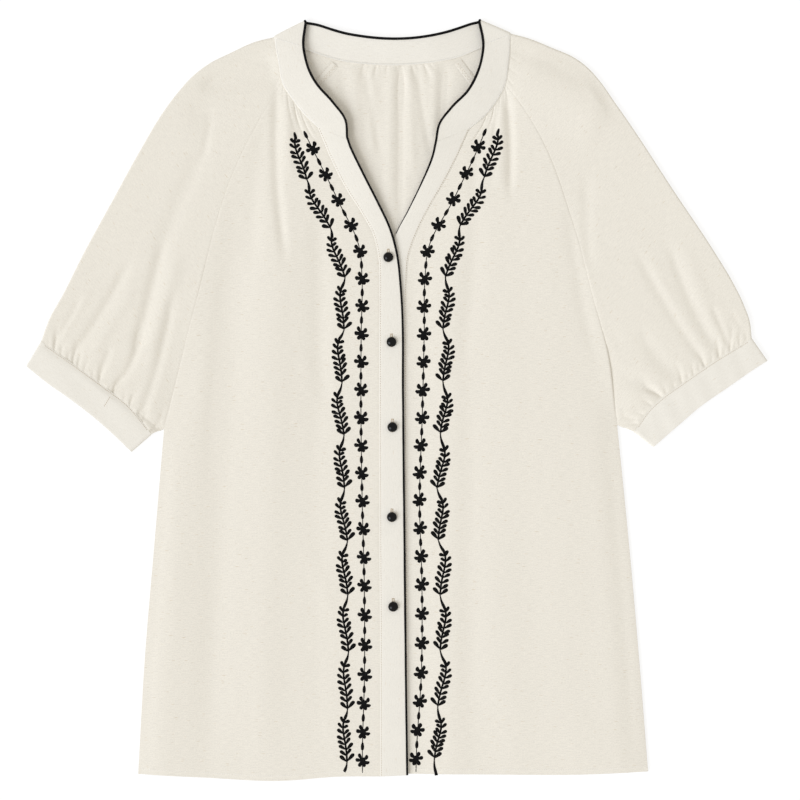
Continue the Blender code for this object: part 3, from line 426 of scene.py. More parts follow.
# Machine stitches: pitch, length and radius
HEM_STITCH = (0.0024, 0.0014, 0.00017)
PLACKET_STITCH = (0.0024, 0.0013, 0.00030)
BAND_STITCH = (0.0019, 0.0017, 0.00026)
CUFF_STITCH = (0.0020, 0.0014, 0.00026)
STITCH_INSET = 0.0014  # from the seam of a strip to its topstitching


# Curves and grids

CROWDED = np.array([0.0, 0.0003, 0.0007, 0.0012, 0.0020, 0.0032])  # rows beside a sewn edge


def curve_at(table, where):
    """Points on the smooth curve through a table's rows. 2.5 is halfway from row 2 to row 3."""
    rows = np.asarray(table, float)
    where = np.asarray(where, float)
    chord = np.linalg.norm(np.diff(rows, axis=0), axis=1)
    knots = np.concatenate([[0.0], np.cumsum(chord)])
    slope = np.gradient(rows, knots, axis=0)
    i = np.clip(np.floor(where).astype(int), 0, len(rows) - 2)
    f = (where - i)[:, None]
    span = chord[i][:, None]
    start = (2 * f**3 - 3 * f**2 + 1) * rows[i] + (f**3 - 2 * f**2 + f) * span * slope[i]
    end = (3 * f**2 - 2 * f**3) * rows[i + 1] + (f**3 - f**2) * span * slope[i + 1]
    return start + end


def lengths(points):
    """Distance along a line of points to each of them."""
    steps = np.linalg.norm(np.diff(points, axis=0), axis=1)
    return np.concatenate([[0.0], np.cumsum(steps)])


def at_places(line, knots, where):
    """Points of a line at those places, when its own points are at the knots."""
    return np.stack([np.interp(where, knots, column) for column in line.T], axis=-1)


def between(table, where, first=0, last=None):
    """Points on the curve through a table's rows, at those shares of its length."""
    last = len(table) - 1 if last is None else last
    fine = curve_at(table, np.linspace(min(first, last), max(first, last), 600))
    if first > last:
        fine = fine[::-1]
    along = lengths(fine)
    return at_places(fine, along, np.asarray(where) * along[-1])


def ease(x):
    x = np.clip(x, 0.0, 1.0)
    return x * x * (3 - 2 * x)


def rise(distance, run):
    return np.sin(np.clip(distance / run, 0.0, 1.0) * math.pi / 2)


def unit(vector):
    return vector / np.linalg.norm(vector, axis=-1, keepdims=True)


def aside_of(way):
    """A quarter turn to the left of a way in plan."""
    return np.stack([-way[..., 1], way[..., 0]], axis=-1)


def apart(plan, line):
    """Distance of each point from the line's point in its own row or column."""
    return np.linalg.norm(plan - line, axis=2)


def stepped(start, end, step):
    return np.linspace(start, end, max(2, round((end - start) / step) + 1))


def shares(length, step, first=True, last=True):
    """Shares of a length, a step apart, and closer together at the ends that are sewn."""
    start = CROWDED if first else CROWDED[:1]
    end = CROWDED if last else CROWDED[:1]
    inner = stepped(start[-1], length - end[-1], step)
    return np.concatenate([start[:-1], inner, (length - end[:-1])[::-1]]) / length


def graded(length, zones):
    """As shares, with zones of other steps. Each zone is where it ends and its step."""
    parts = [CROWDED]
    start = CROWDED[-1]
    for end, step in zones:
        end = min(end, length - CROWDED[-1])
        parts.append(stepped(start, end, step)[1:])
        start = end
    parts.append(length - CROWDED[-2::-1])
    return np.concatenate(parts) / length


def patch(left, right, top, bottom, across, down):
    """A surface between four sides, with rows from left to right at those shares of the way down."""
    v = down[:, None, None]
    u = across[None, :, None]
    sides = (1 - u) * left[:, None] + u * right[:, None]
    ends = (1 - v) * top[None] + v * bottom[None]
    corners = (1 - u) * (1 - v) * left[0] + u * (1 - v) * right[0]
    corners = corners + (1 - u) * v * left[-1] + u * v * right[-1]
    return sides + ends - corners


def relief(x, y, folds=FOLDS):
    """How far the folds lift the cloth at a place in plan."""
    total = np.zeros(np.shape(x))
    for x0, y0, x1, y1, half_width, height, bend in folds:
        dx, dy = x1 - x0, y1 - y0
        length = math.hypot(dx, dy)
        along = ((x - x0) * dx + (y - y0) * dy) / length
        aside = ((x - x0) * dy - (y - y0) * dx) / length
        aside = aside - bend * np.sin(np.clip(along / length, 0, 1) * math.pi)
        end = FOLD_FADE * length
        fade = ease((along + 0.5 * end) / end) * ease((length + 0.5 * end - along) / end)
        total = total + height * np.exp(-((aside / half_width) ** 2)) * fade
    return total


def soft_waves(x, y):
    """Slight unevenness of cloth that has been worn and laid down."""
    broad = np.sin(31 * x + 9 * y + 1.0) * np.sin(17 * y - 12 * x + 0.4)
    middle = np.sin(74 * x - 23 * y + 2.1) * np.sin(41 * y + 26 * x + 1.3)
    small = np.sin(171 * x + 64 * y) * np.sin(118 * y - 47 * x + 0.7)
    return 0.00022 * broad + 0.00012 * middle + 0.00004 * small


def gathers(share, distance, length, table):
    """Narrow valleys that start at a seam, widen and fade, each with a slight puff beside it."""
    total = np.zeros(np.shape(share))
    for spot, depth, reach, lean in table:
        width = 0.0011 + 0.12 * distance
        aside = (share - spot) * length - lean * distance
        fade = (0.35 + 0.65 * ease(distance / 0.003)) * (1 - ease(distance / reach))
        total = total - depth * np.exp(-((aside / width) ** 2)) * fade
        puff = (aside - 2.2 * width) / (1.5 * width)
        total = total + 0.15 * depth * np.exp(-(puff**2)) * fade
    return total


def seam_dip(distance):
    depth, width = SEAM_ROLL
    return -depth * np.exp(-((distance / width) ** 2))


def tucked(grid, axis, at_end, weight=1.0):
    """The grid with one more line beyond an edge, where the cloth goes on under its neighbour."""
    lines = np.moveaxis(grid, axis, 0)
    lines = lines if at_end else lines[::-1]
    way = lines[-1] - lines[-2]
    way[..., 2] = 0
    weight = np.broadcast_to(weight, way.shape[:-1])[..., None]
    more = lines[-1] + unit(way) * TUCK_REACH * weight - np.array([0, 0, TUCK_DROP]) * weight
    lines = np.concatenate([lines, more[None]])
    return np.moveaxis(lines if at_end else lines[::-1], 0, axis)


# Materials


class Shader:
    """A material's nodes, added one by one."""

    def __init__(self, name, colour, roughness, specular, more=()):
        self.material = bpy.data.materials.new(name)
        self.material.use_nodes = True
        self.tree = self.material.node_tree
        self.out = self.tree.nodes["Principled BSDF"]
        own = {"Base Color": (*colour, 1.0), "Roughness": roughness, "Specular IOR Level": specular}
        for key, value in {**own, **dict(more)}.items():
            self.out.inputs[key].default_value = value

    def add(self, kind, settings=(), **inputs):
        node = self.tree.nodes.new(kind)
        for key, value in dict(settings).items():
            setattr(node, key, value)
        for key, value in inputs.items():
            socket = node.inputs[int(key[2:]) if key.startswith("in") else key]
            if isinstance(value, bpy.types.NodeSocket):
                self.tree.links.new(value, socket)
            else:
                socket.default_value = value
        return node

    def uv(self, scale, turn=0.0):
        place = self.add("ShaderNodeUVMap", {"uv_map": "weave"})
        return self.add(
            "ShaderNodeMapping", Vector=place.outputs["UV"], Scale=(*scale, 1.0), Rotation=(0, 0, turn)
        ).outputs["Vector"]

    def noise(self, vector, scale, detail=2.0):
        node = self.add("ShaderNodeTexNoise", Vector=vector, Scale=scale, Detail=detail)
        return node.outputs["Fac"]

    def math(self, operation, a, b=0.0):
        return self.add("ShaderNodeMath", {"operation": operation}, in0=a, in1=b).outputs[0]

    def ramp(self, value, low, high, low_at=0.0, high_at=1.0):
        node = self.add("ShaderNodeValToRGB", Fac=value)
        for stop, colour, at in zip(node.color_ramp.elements, (low, high), (low_at, high_at)):
            stop.color = (*colour, 1.0)
            stop.position = at
        return node.outputs["Color"]

    def bump(self, height, distance, strength=1.0, below=None):
        inputs = {"Height": height, "Distance": distance, "Strength": strength}
        if below is not None:
            inputs["Normal"] = below
        return self.add("ShaderNodeBump", **inputs).outputs["Normal"]

    def link(self, output, name):
        self.tree.links.new(output, self.out.inputs[name])


def cloth_material(name, colour, shade, fleck):
    """Fine plain weave in slub yarn: thin streaks along the weft, and a few darker flecks in it."""
    made = Shader(name, colour, 0.86, 0.18, {"Sheen Weight": 0.10, "Sheen Roughness": 0.5})
    weft = made.noise(made.uv(WEFT_STREAKS), 1.0, 1.0)
    yarn = made.noise(made.uv(YARNS), 1.0, 1.0)
    slub = made.noise(made.uv(SLUBS, 0.02), 1.0, 0.0)
    yarns = made.math("ADD", made.math("MULTIPLY", weft, 0.42), made.math("MULTIPLY", yarn, 0.58))
    low = tuple(c * (1 - shade) for c in colour)
    high = tuple(min(1.0, c * (1 + shade)) for c in colour)
    tone = made.ramp(yarns, low, high, 0.36, 0.64)
    flecks = made.ramp(slub, fleck, (1.0, 1.0, 1.0), 0.17, 0.23)
    blend = {"data_type": "RGBA", "blend_type": "MULTIPLY"}
    mixed = made.add("ShaderNodeMix", blend, in0=1.0, in6=tone, in7=flecks)
    made.link(mixed.outputs[2], "Base Color")
    warp_and_weft = [
        made.add("ShaderNodeTexWave", {"bands_direction": way}, Vector=made.uv((1, 1)), Scale=scale)
        for way, scale in THREADS
    ]
    weave = made.math("MULTIPLY", *(threads.outputs["Fac"] for threads in warp_and_weft))
    normal = made.bump(weave, 0.00008, 0.5)
    normal = made.bump(yarns, 0.0003, 0.25, normal)
    creases = made.noise(made.uv(CREASES, 0.5), 1.0, 3.0)
    made.link(made.bump(creases, 0.0012, 0.05, normal), "Normal")
    return made.material


def thread_material(name, colour, roughness, specular, pitch, slant):
    """Thread laid side by side. The pitch is from one thread to the next."""
    made = Shader(name, colour, roughness, specular)
    threads = made.add(
        "ShaderNodeTexWave", {"bands_direction": "Y"},
        Vector=made.uv((1, 1), slant), Scale=WAVE_PITCH / pitch, Distortion=0.4,
    ).outputs["Fac"]
    light = tuple(min(1.0, c * 1.4 + 0.002) for c in colour)
    made.link(made.ramp(threads, colour, light), "Base Color")
    made.link(made.bump(threads, 0.00012, 0.8), "Normal")
    return made.material


def gloss_material():
    coat = {"Coat Weight": 0.12, "Coat Roughness": 0.05}
    made = Shader("black gloss", BUTTON_BLACK, 0.16, 0.16, coat)
    scuffs = made.noise(made.uv((900, 900)), 1.0, 4.0)
    made.link(made.ramp(scuffs, (0.10, 0.10, 0.10), (0.18, 0.18, 0.18), 0.4, 0.8), "Roughness")
    return made.material


def floor_material():
    """A plain light table, so that shadows on it stay faint."""
    glow = {"Emission Color": (1.0, 1.0, 1.0, 1.0), "Emission Strength": FLOOR_GLOW}
    return Shader("floor", FLOOR_GREY, 0.9, 0.1, glow).material


# Meshes


def add_mesh(name, points, faces, finish, uv=None):
    """A mesh object from points, quads or triangles, and a place in the weave for each point."""
    data = bpy.data.meshes.new(name)
    data.from_pydata(np.asarray(points).tolist(), [], [list(face) for face in faces])
    if uv is not None:
        layer = data.uv_layers.new(name="weave")
        corners = np.empty(len(data.loops), np.int32)
        data.loops.foreach_get("vertex_index", corners)
        layer.uv.foreach_set("vector", np.asarray(uv, np.float32)[corners].ravel())
    data.shade_smooth()
    data.materials.append(finish)
    made = bpy.data.objects.new(name, data)
    bpy.context.scene.collection.objects.link(made)
    return made


def quads(rows, columns, ring=False):
    index = np.arange(rows * columns).reshape(rows, columns)
    if ring:
        index = np.concatenate([index, index[:, :1]], axis=1)
    corners = index[:-1, :-1], index[:-1, 1:], index[1:, 1:], index[1:, :-1]
    return np.stack(corners, axis=-1).reshape(-1, 4)


def normals(middle, ring=False):
    """The normal of a grid at each of its points. They point up at its first corner."""
    run = np.gradient(middle, axis=0)
    if ring:
        side = (np.roll(middle, -1, 1) - np.roll(middle, 1, 1)) / 2
    else:
        side = np.gradient(middle, axis=1)
    normal = unit(np.cross(side, run))
    corner = normal[: len(normal) // 2 + 1, : max(2, normal.shape[1] // 4), 2]
    return -normal if corner.mean() < 0 else normal


def shell(name, middle, thickness, finish, uv, ring=False):
    """A closed thin wall round a grid of points, with its weave."""
    normal = normals(middle, ring)
    above = (middle + normal * thickness / 2).reshape(-1, 3)
    below = (middle - normal * thickness / 2).reshape(-1, 3)
    rows, columns = middle.shape[:2]
    count = rows * columns
    top = quads(rows, columns, ring)
    start = above[top[:, 0]]
    facing = np.cross(above[top[:, 1]] - start, above[top[:, 3]] - start)
    if (facing * normal.reshape(-1, 3)[top[:, 0]]).sum() < 0:
        top = top[:, ::-1]
    index = np.arange(count).reshape(rows, columns)
    rims = [index[0], index[-1][::-1]]
    if ring:
        rims = [np.append(rim, rim[0]) for rim in rims]
    else:
        rims += [index[:, -1], index[::-1, 0]]
    sides = np.concatenate([
        np.stack([rim[:-1], rim[1:], rim[1:] + count, rim[:-1] + count], axis=1) for rim in rims
    ])
    if not same_way(top, sides):
        sides = sides[:, ::-1]
    faces = np.concatenate([top, top[:, ::-1] + count, sides])
    places = np.concatenate([uv.reshape(-1, 2)] * 2)
    return add_mesh(name, np.concatenate([above, below]), faces, finish, places)


def same_way(top, sides):
    """Whether the rim's faces wind so that they match the upper face beside them."""
    a, b = sides[0][0], sides[0][1]
    for face in top:
        face = list(face)
        if a in face and b in face:
            return face[(face.index(a) + 1) % 4] != b
    return True


def turned(plan, angle):
    """Places in the weave for points in plan, with the weft along the angle."""
    c, s = math.cos(angle), math.sin(angle)
    return np.stack([plan[..., 0] * c + plan[..., 1] * s, plan[..., 1] * c - plan[..., 0] * s], axis=-1)


class Bundle:
    """Many small shapes joined into one mesh."""

    def __init__(self):
        self.points, self.faces, self.places, self.count = [], [], [], 0

    def add_grid(self, points, places, ring=False):
        rows, columns = points.shape[:2]
        self.faces.append(quads(rows, columns, ring) + self.count)
        self.points.append(points.reshape(-1, 3))
        self.places.append(places.reshape(-1, 2))
        self.count += rows * columns

    def build(self, name, finish):
        points, places = np.concatenate(self.points), np.concatenate(self.places)
        return add_mesh(name, points, np.concatenate(self.faces), finish, places)


class Surface:
    """The upper faces of some pieces, on which threads are laid."""

    def __init__(self, *pieces):
        points, faces = [], []
        for piece in pieces:
            start = len(points)
            points += [v.co.copy() for v in piece.data.vertices]
            faces += [[start + i for i in p.vertices] for p in piece.data.polygons]
        self.tree = BVHTree.FromPolygons(points, faces)

    def height(self, plan):
        """Height of the cloth under each point in plan. A gap takes its neighbour's height."""
        flat = plan.reshape(-1, 2)
        found = np.full(len(flat), np.nan)
        for i, (x, y) in enumerate(flat):
            place = self.tree.ray_cast(Vector((x, y, 0.05)), Vector((0, 0, -1)))[0]
            if place is None:
                place = self.tree.find_nearest(Vector((x, y, 0.006)))[0]
            found[i] = place.z
        return found.reshape(plan.shape[:-1])

    def lay(self, plan, lift):
        return np.concatenate([plan, (self.height(plan) + lift)[..., None]], axis=-1)


# Cloth pieces


def outside_line(raglan, side, rows):
    """Points down the raglan seam and then the side seam, at those row numbers."""
    upper = between(raglan, np.clip(rows / RAGLAN_SPANS, 0, 1))
    lower = between(side, np.clip((rows - RAGLAN_SPANS) / SIDE_SPANS, 0, 1))
    return np.where((rows <= RAGLAN_SPANS)[:, None], upper, lower)


def placket_row(rows, table):
    below = (len(table) - 1 - PLACKET_UNDERARM_ROW) / SIDE_SPANS
    return np.where(rows <= RAGLAN_SPANS, rows, PLACKET_UNDERARM_ROW + (rows - RAGLAN_SPANS) * below)


def seam_heights(rows, drop=SEAM_DROP):
    """Underside of the upper layer along a raglan seam, in the solids."""
    down = ease((rows / RAGLAN_SPANS - drop) / (1 - drop))
    return (LAYER + (EASY_HEIGHT - LAYER) * (1 - down))[:, None]


def hem_step(distance):
    """The cloth steps down at the stitches of the hem, and lies flat from there to its edge."""
    return -HEM_STEP * ease((HEM_WIDTH - 0.0002 - distance) / HEM_STEP_RUN)


def from_line(plan, line):
    """Shortest distance of each point in plan from a line of points."""
    flat = plan.reshape(-1, 1, 2)
    best = np.full(len(flat), np.inf)
    for start in range(0, len(line), 64):
        part = line[start : start + 64][None]
        best = np.minimum(best, np.linalg.norm(flat - part, axis=2).min(axis=1))
    return best.reshape(plan.shape[:-1])


def front_panel(side, finish):
    """A front: rows go from its outer edge to its placket, from the neck down."""
    down = graded(PANEL_LENGTH, FRONT_ZONES)
    rows = down * (RAGLAN_SPANS + SIDE_SPANS)
    across = shares(FRONT_WIDTH, FRONT_STEP)
    outside = outside_line(side.raglan, side.side_seam, rows)
    inside = curve_at(side.placket, placket_row(rows, side.placket))
    neck = between(side.band[:, :2], across, side.band_row, side.band_ends[0])
    plan = patch(outside, inside[:, :2], neck, between(side.hem, across), across, down)
    from_side, from_placket = apart(plan, plan[:, :1]), apart(plan, plan[:, -1:])
    from_neck, from_hem = from_line(plan, plan[0]), apart(plan, plan[-1:])
    side_z = seam_heights(rows)
    placket_z = inside[:, 2:3] - SOLID_DOUBLE / 2
    edge_z = seam_heights(rows, side.edge_drop)
    z = edge_z + (FRONT_LIFT - edge_z) * rise(from_side, SIDE_ROLL)
    z = side_z + (z - side_z) * ease(from_side / EDGE_ROLL)
    z = placket_z + (z - placket_z) * ease(from_placket / NECK_RISE)
    folds = relief(plan[..., 0], plan[..., 1]) + soft_waves(plan[..., 0], plan[..., 1])
    z = z + folds * np.where((rows >= LOW_ROW)[:, None], ease(from_side / FOLD_START), 1.0)
    z = z + gathers(across[None], from_neck, lengths(neck)[-1], side.neck_gathers)
    z = z + seam_dip(from_side) + seam_dip(from_placket) + seam_dip(from_neck) + hem_step(from_hem)
    z = np.maximum(z, LAYER) + SOLID_CLOTH - CLOTH / 2
    grid = tucked(tucked(np.dstack([plan, z]), 0, False), 1, True)
    return shell(f"cloth_front_{side.name}", grid, CLOTH, finish, turned(grid[..., :2], 0.0))


def back_panel(finish):
    """The back, which shows only inside the neck: its folds fade out further down."""
    down = graded(PANEL_LENGTH, BACK_ZONES)
    rows = down * (RAGLAN_SPANS + SIDE_SPANS)
    across = shares(BACK_WIDTH, BACK_STEP)
    neck = between(BAND_BACK[:, :2], across, *BACK_RAGLAN_ROWS)
    right, left = (outside_line(side.raglan_back, side.side_seam, rows) for side in SIDES)
    plan = patch(right, left, neck, between(BACK_HEM, across), across, down)
    from_neck = from_line(plan, plan[0])
    z = relief(plan[..., 0], plan[..., 1], BACK_FOLDS) + 0.7 * soft_waves(plan[..., 0], plan[..., 1])
    z = z + gathers(across[None], from_neck, lengths(neck)[-1], BACK_GATHERS) + 0.0009
    from_sides = np.minimum(apart(plan, plan[:, :1]), apart(plan, plan[:, -1:]))
    z = z * ease((0.23 - from_neck) / 0.10) * ease(from_sides / 0.022)
    z = np.maximum(z, 0.0) + FLOOR_GAP + CLOTH / 2
    grid = tucked(np.dstack([plan, z]), 0, False, np.clip((z[0] - z[0].min()) / TUCK_DROP, 0.1, 1.0))
    return shell("cloth_back", grid, CLOTH, finish, turned(grid[..., :2], 0.0))


def bow(line, share):
    """How far a line's points lie from the straight line between its ends."""
    return line - (line[0] + share[:, None] * (line[-1] - line[0]))


def half_turn(steps):
    """Angles round a fold, from its upper layer to its lower one, without these two."""
    return np.linspace(math.pi / 2, -math.pi / 2, steps + 1)[1:-1]


def sleeve_ends(side, rows):
    """Where the sections of a sleeve begin, at its front and its back seam, and their tips."""
    raglan_share = np.clip(rows / RAGLAN_SPANS, 0, 1)
    arm_share = np.clip((rows - RAGLAN_SPANS) / UNDER_SPANS, 0, 1)[:, None]
    above = (rows <= RAGLAN_SPANS)[:, None]
    arm = side.raglan[-1] * (1 - arm_share) + side.cuff_seam[-1] * arm_share
    raglans = side.raglan, side.raglan_back
    seams = [np.where(above, between(raglan, raglan_share), arm) for raglan in raglans]
    tip_share = np.where(
        above[:, 0],
        raglan_share * SLEEVE_UNDERARM_SHARE,
        SLEEVE_UNDERARM_SHARE + arm_share[:, 0] * (1 - SLEEVE_UNDERARM_SHARE),
    )
    return *seams, between(side.shoulder, tip_share)


def sleeve_plan(side, rows, share_front, share_back, neck_front, reach):
    """Each row is one section in plan, from the front seam out to the fold and back under to the
    back seam. The first ones turn to the neck band and the last ones to the cuff."""
    front_in, back_in, tips = sleeve_ends(side, rows)
    swing = np.cos(half_turn(FOLD_STEPS))[:, None]
    turn = np.linspace(0, 1, FOLD_STEPS + 1)[1:-1, None]
    front_bow = bow(between(side.cuff_seam, 1 - share_front), share_front)
    back_bow = bow(between(side.cuff_seam, share_back), share_back)
    grid = []
    for k, row in enumerate(rows):
        out_front, out_back = (unit(tips[k] - seam[k]) for seam in (front_in, back_in))
        near_cuff = ease(1 - (RAGLAN_SPANS + UNDER_SPANS - row) / UNDER_SPANS)
        front = front_in[k] + share_front[:, None] * (tips[k] - out_front * reach - front_in[k])
        back_tip = tips[k] - out_back * reach
        back = back_tip + share_back[:, None] * (back_in[k] - back_tip)
        front, back = front + near_cuff * front_bow, back + near_cuff * back_bow
        out = out_front * (1 - turn) + out_back * turn
        around = front[-1] * (1 - turn) + back[0] * turn + out * reach * swing
        plan = np.concatenate([front, around, back])
        if k == 0:
            corner = neck_front[-1] + side.band_out * BAND_FOLD_RADIUS * swing
            neck_back = between(BAND_BACK[:, :2], share_back, *side.back_rows)
            to_band = np.concatenate([neck_front, corner, neck_back]) - plan
        grid.append(plan + to_band * ease(1 - row / 3))
    return np.array(grid)


def sleeve(side, finish):
    """A raglan sleeve folded along the top of the arm."""
    rows = graded(SLEEVE_LENGTH, SLEEVE_ZONES) * (RAGLAN_SPANS + UNDER_SPANS)
    share_front = shares(SLEEVE_WIDTH, SLEEVE_STEP, last=False)
    share_back = shares(SLEEVE_WIDTH, SLEEVE_UNDER_STEP, first=False)
    low = FLOOR_GAP + CLOTH / 2
    high = EASY_HEIGHT + SOLID_CLOTH - CLOTH / 2
    radius, centre = (high - low) / 2, (high + low) / 2
    neck_front = between(side.band[:, :2], share_front, side.band_row, side.band_ends[1])
    plan = sleeve_plan(side, rows, share_front, share_back, neck_front, radius * FOLD_REACH)
    n = len(share_front)
    front, back = plan[:, :n], plan[:, n + FOLD_STEPS - 1 :]
    from_seam = apart(front, front[:, :1])
    from_cuff, from_neck = from_line(front, front[-1]), from_line(front, front[0])
    cuff_length = lengths(between(side.cuff_seam, share_front))[-1]
    folds = relief(front[..., 0], front[..., 1]) + soft_waves(front[..., 0] + 0.11, front[..., 1])
    folds = folds * ease((1 - share_front) * SHOULDER_FADE)[None]
    folds = folds * np.where((rows >= LOW_ROW)[:, None], ease(from_seam / FOLD_START), 1.0)
    seam_top = seam_heights(rows) + SOLID_CLOTH - CLOTH / 2
    up = np.maximum(rise(from_seam, SIDE_ROLL), ease(1 - from_cuff / CUFF_RISE))
    top = seam_top + (high - seam_top) * up + folds
    fade = ease((1 - share_front) * GATHER_FADES[0])[None] * ease(share_front * GATHER_FADES[1])[None]
    top = top + gathers(share_front[None], from_cuff, cuff_length, side.cuff_gathers) * fade
    top = top + gathers(share_front[None], from_neck, lengths(neck_front)[-1], HEAD_GATHERS) * fade
    top = top + seam_dip(from_seam) + (seam_dip(from_cuff) + seam_dip(from_neck)) * fade
    top = np.maximum(top, LAYER + SOLID_CLOTH - CLOTH / 2)
    under_cuff = from_line(back, back[-1])
    under = low + 0.0005 * ease((0.03 - under_cuff) / 0.03)
    under = under + gathers(share_back[None], under_cuff, cuff_length, UNDER_GATHERS)
    under = np.maximum(low, under) * np.ones_like(under_cuff)
    around = np.tile(centre + radius * np.sin(half_turn(FOLD_STEPS)), (len(rows), 1))
    grid = np.dstack([plan, np.concatenate([top, around, under], axis=1)])
    over = np.clip(np.interp(np.arange(plan.shape[1]), (n - 8, n), (1.0, 0.1)), 0.1, 1.0)
    grid = tucked(tucked(grid, 0, False, over), 0, True, over)
    over = np.interp(np.arange(len(grid)), (len(grid) * 0.70, len(grid) * 0.76), (1.0, 0.1))
    grid = tucked(grid, 1, False, over)
    uv = turned(grid[..., :2], math.radians(side.out * SLEEVE_GRAIN))
    return shell(f"cloth_sleeve_{side.name}", grid, CLOTH, finish, uv)


def cuff(side, finish):
    """A flattened ring of doubled cloth, round the front, the inner fold, the underside and back."""
    across_share = shares(CUFF_LENGTH, STRIP_STEP, first=False, last=False)
    seam, edge = between(side.cuff_seam, across_share), between(side.cuff_edge, across_share)
    low = FLOOR_GAP + DOUBLE / 2
    high = FRONT_LIFT + SOLID_CLOTH - DOUBLE / 2 + 0.0004
    radius, centre = (high - low) / 2, (high + low) / 2
    angles = half_turn(FOLD_STEPS)
    count = len(across_share)
    turn = centre + radius * np.sin(angles)
    ends = ease(np.linspace(0, 20, count)) * ease(np.linspace(20, 0, count))
    grid = []
    for share in shares(CUFF_WIDTH, STRIP_STEP):
        line = seam * (1 - share) + edge * share
        across = unit(line[-1] - line[0])
        line = line + across * radius * FOLD_REACH * np.linspace(1, -1, count)[:, None]
        reach = across * radius * FOLD_REACH * np.cos(angles)[:, None]
        plan = np.concatenate([line, line[-1] + reach, line[::-1], line[0] - reach])
        crown = CUFF_CROWN * np.sin(np.linspace(0, math.pi, count))
        x, y = line.T
        wrinkle = CUFF_UNEVEN * np.sin(150 * x + 210 * y + 3 * share) * np.sin(90 * x + 2)
        edges = 1.2 * seam_dip((1 - share) * CUFF_WIDTH)
        full = ease(share * CUFF_WIDTH / 0.006)
        edges = (edges - 0.0004 * (1 - full)) * ends
        top = high + crown * full + wrinkle * full + edges
        z = np.concatenate([top, turn, np.full(count, low), turn[::-1]])
        grid.append(np.column_stack([plan, z]))
    grid = np.array(grid)
    across = unit(edge[-1] - edge[0])
    uv = turned(grid[..., :2], math.atan2(across[1], across[0]))
    return shell(f"band_cuff_{side.name}", grid, DOUBLE, finish, uv, ring=True)


def fold_rows(front, back, out):
    """The sections round a fold between the last front section and the first back one."""
    made = []
    for angle in half_turn(BAND_FOLD_STEPS):
        row = []
        for k in (0, 3):
            radius = (front[k + 2] - back[k + 2]) / 2
            middle = (front[k + 2] + back[k + 2]) / 2
            reach = radius * math.cos(angle)
            row += [front[k] + out[0] * reach, front[k + 1] + out[1] * reach]
            row += [middle + radius * math.sin(angle)]
        made.append(row)
    return np.array(made)


def band_sections():
    """Every section of the neck band, from the right placket round the neck to the left one."""
    right = between(RIGHT.band, shares(BAND_SIDE, STRIP_STEP, last=False))
    back = between(BAND_BACK, shares(BAND_BEHIND, STRIP_STEP, first=False, last=False))
    left = between(LEFT.band, shares(BAND_SIDE, STRIP_STEP, first=False))
    fold_right = fold_rows(right[-1], back[0], RIGHT.band_out)
    fold_left = fold_rows(left[0], back[-1], LEFT.band_out)[::-1]
    return np.concatenate([right, fold_right, back, fold_left, left])


def strip(name, sections, uneven, finish):
    """A faced strip between its seam and its edge, slightly padded between them."""
    share = shares(STRIP_WIDTH, STRIP_STEP)[None, :, None]
    seam, edge = sections[:, None, :3], sections[:, None, 3:]
    middle = seam * (1 - share) + edge * share
    width = np.linalg.norm(sections[:, 3:] - sections[:, :3], axis=1)[:, None]
    from_seam, from_edge = share[..., 0] * width, (1 - share[..., 0]) * width
    along = lengths(sections[:, :3])[:, None]
    puff = STRIP_PUFF * np.sin(math.pi * share[..., 0]) ** 0.6
    uneven = uneven * np.sin(95 * along + 60 * from_seam) * np.sin(41 * along - 90 * from_seam + 1)
    height = (sections[:, 5] - sections[:, 2])[:, None]
    full = ease(from_seam / 0.0024)
    shoulder = 0.10 * height * (1 - share[..., 0])
    lift = (puff + uneven + shoulder) * full - 0.00036 * (1 - full) + 0.5 * seam_dip(from_edge)
    middle = middle + normals(middle) * (lift + (SOLID_DOUBLE - DOUBLE) / 2)[..., None]
    middle[..., 2] = np.maximum(middle[..., 2], FLOOR_GAP + DOUBLE / 2)
    uv = np.stack([along * np.ones_like(from_seam), from_seam * np.ones_like(along)], axis=-1)
    return shell(name, middle, DOUBLE, finish, uv)


def placket_sections(table):
    rows = shares(PLACKET_LENGTH, PLACKET_STEP) * (RAGLAN_SPANS + SIDE_SPANS)
    return curve_at(table, placket_row(rows, table))


# Trim


def tube(path, radii, sides):
    """Rings round a path, as a grid, and their places in the weave."""
    run = unit(np.gradient(path, axis=0))
    aside = np.array([1.0, 0.0, 0.0])
    rings = []
    turn = np.linspace(0, 2 * math.pi, sides, endpoint=False)[:, None]
    for place, forward, radius in zip(path, run, radii):
        aside = aside - forward * (aside @ forward)
        aside = aside / np.linalg.norm(aside)
        other = np.cross(forward, aside)
        rings.append(place + radius * (np.cos(turn) * aside + np.sin(turn) * other))
    along = lengths(path)[:, None] * np.ones((1, sides))
    around = np.linspace(0, 2 * math.pi * radii[0], sides)[None] * np.ones((len(path), 1))
    return np.array(rings), np.stack([around, along], axis=-1)


def piping(band, right, left, finish):
    """Up the right placket, round the band and down the left placket, to where it is tucked under."""
    last = np.searchsorted(-left[:, 1], -LEFT.placket[TUCKED_ROWS - 1][1])
    path = np.concatenate([right[::-1][:-1, 3:], band[:, 3:], left[1:last, 3:]])
    keep = np.concatenate([[True], np.linalg.norm(np.diff(path, axis=0), axis=1) > 0.0006])
    path = path[keep]
    path = path + np.array([0, 0, (SOLID_DOUBLE - DOUBLE) / 2])
    along = lengths(path)
    covered = ease((along - along[-1] + PIPING_COVERED) / PIPING_COVERED)
    fuller = 1 + PIPING_FULLER * ease((path[:, 1] - LEFT.band[-1][1]) / 0.04)
    points, places = tube(path, PIPING_RADIUS * fuller * (1 - 0.5 * covered), 12)
    made = Bundle()
    made.add_grid(points, places, ring=True)
    return made.build("piping_cord", finish)


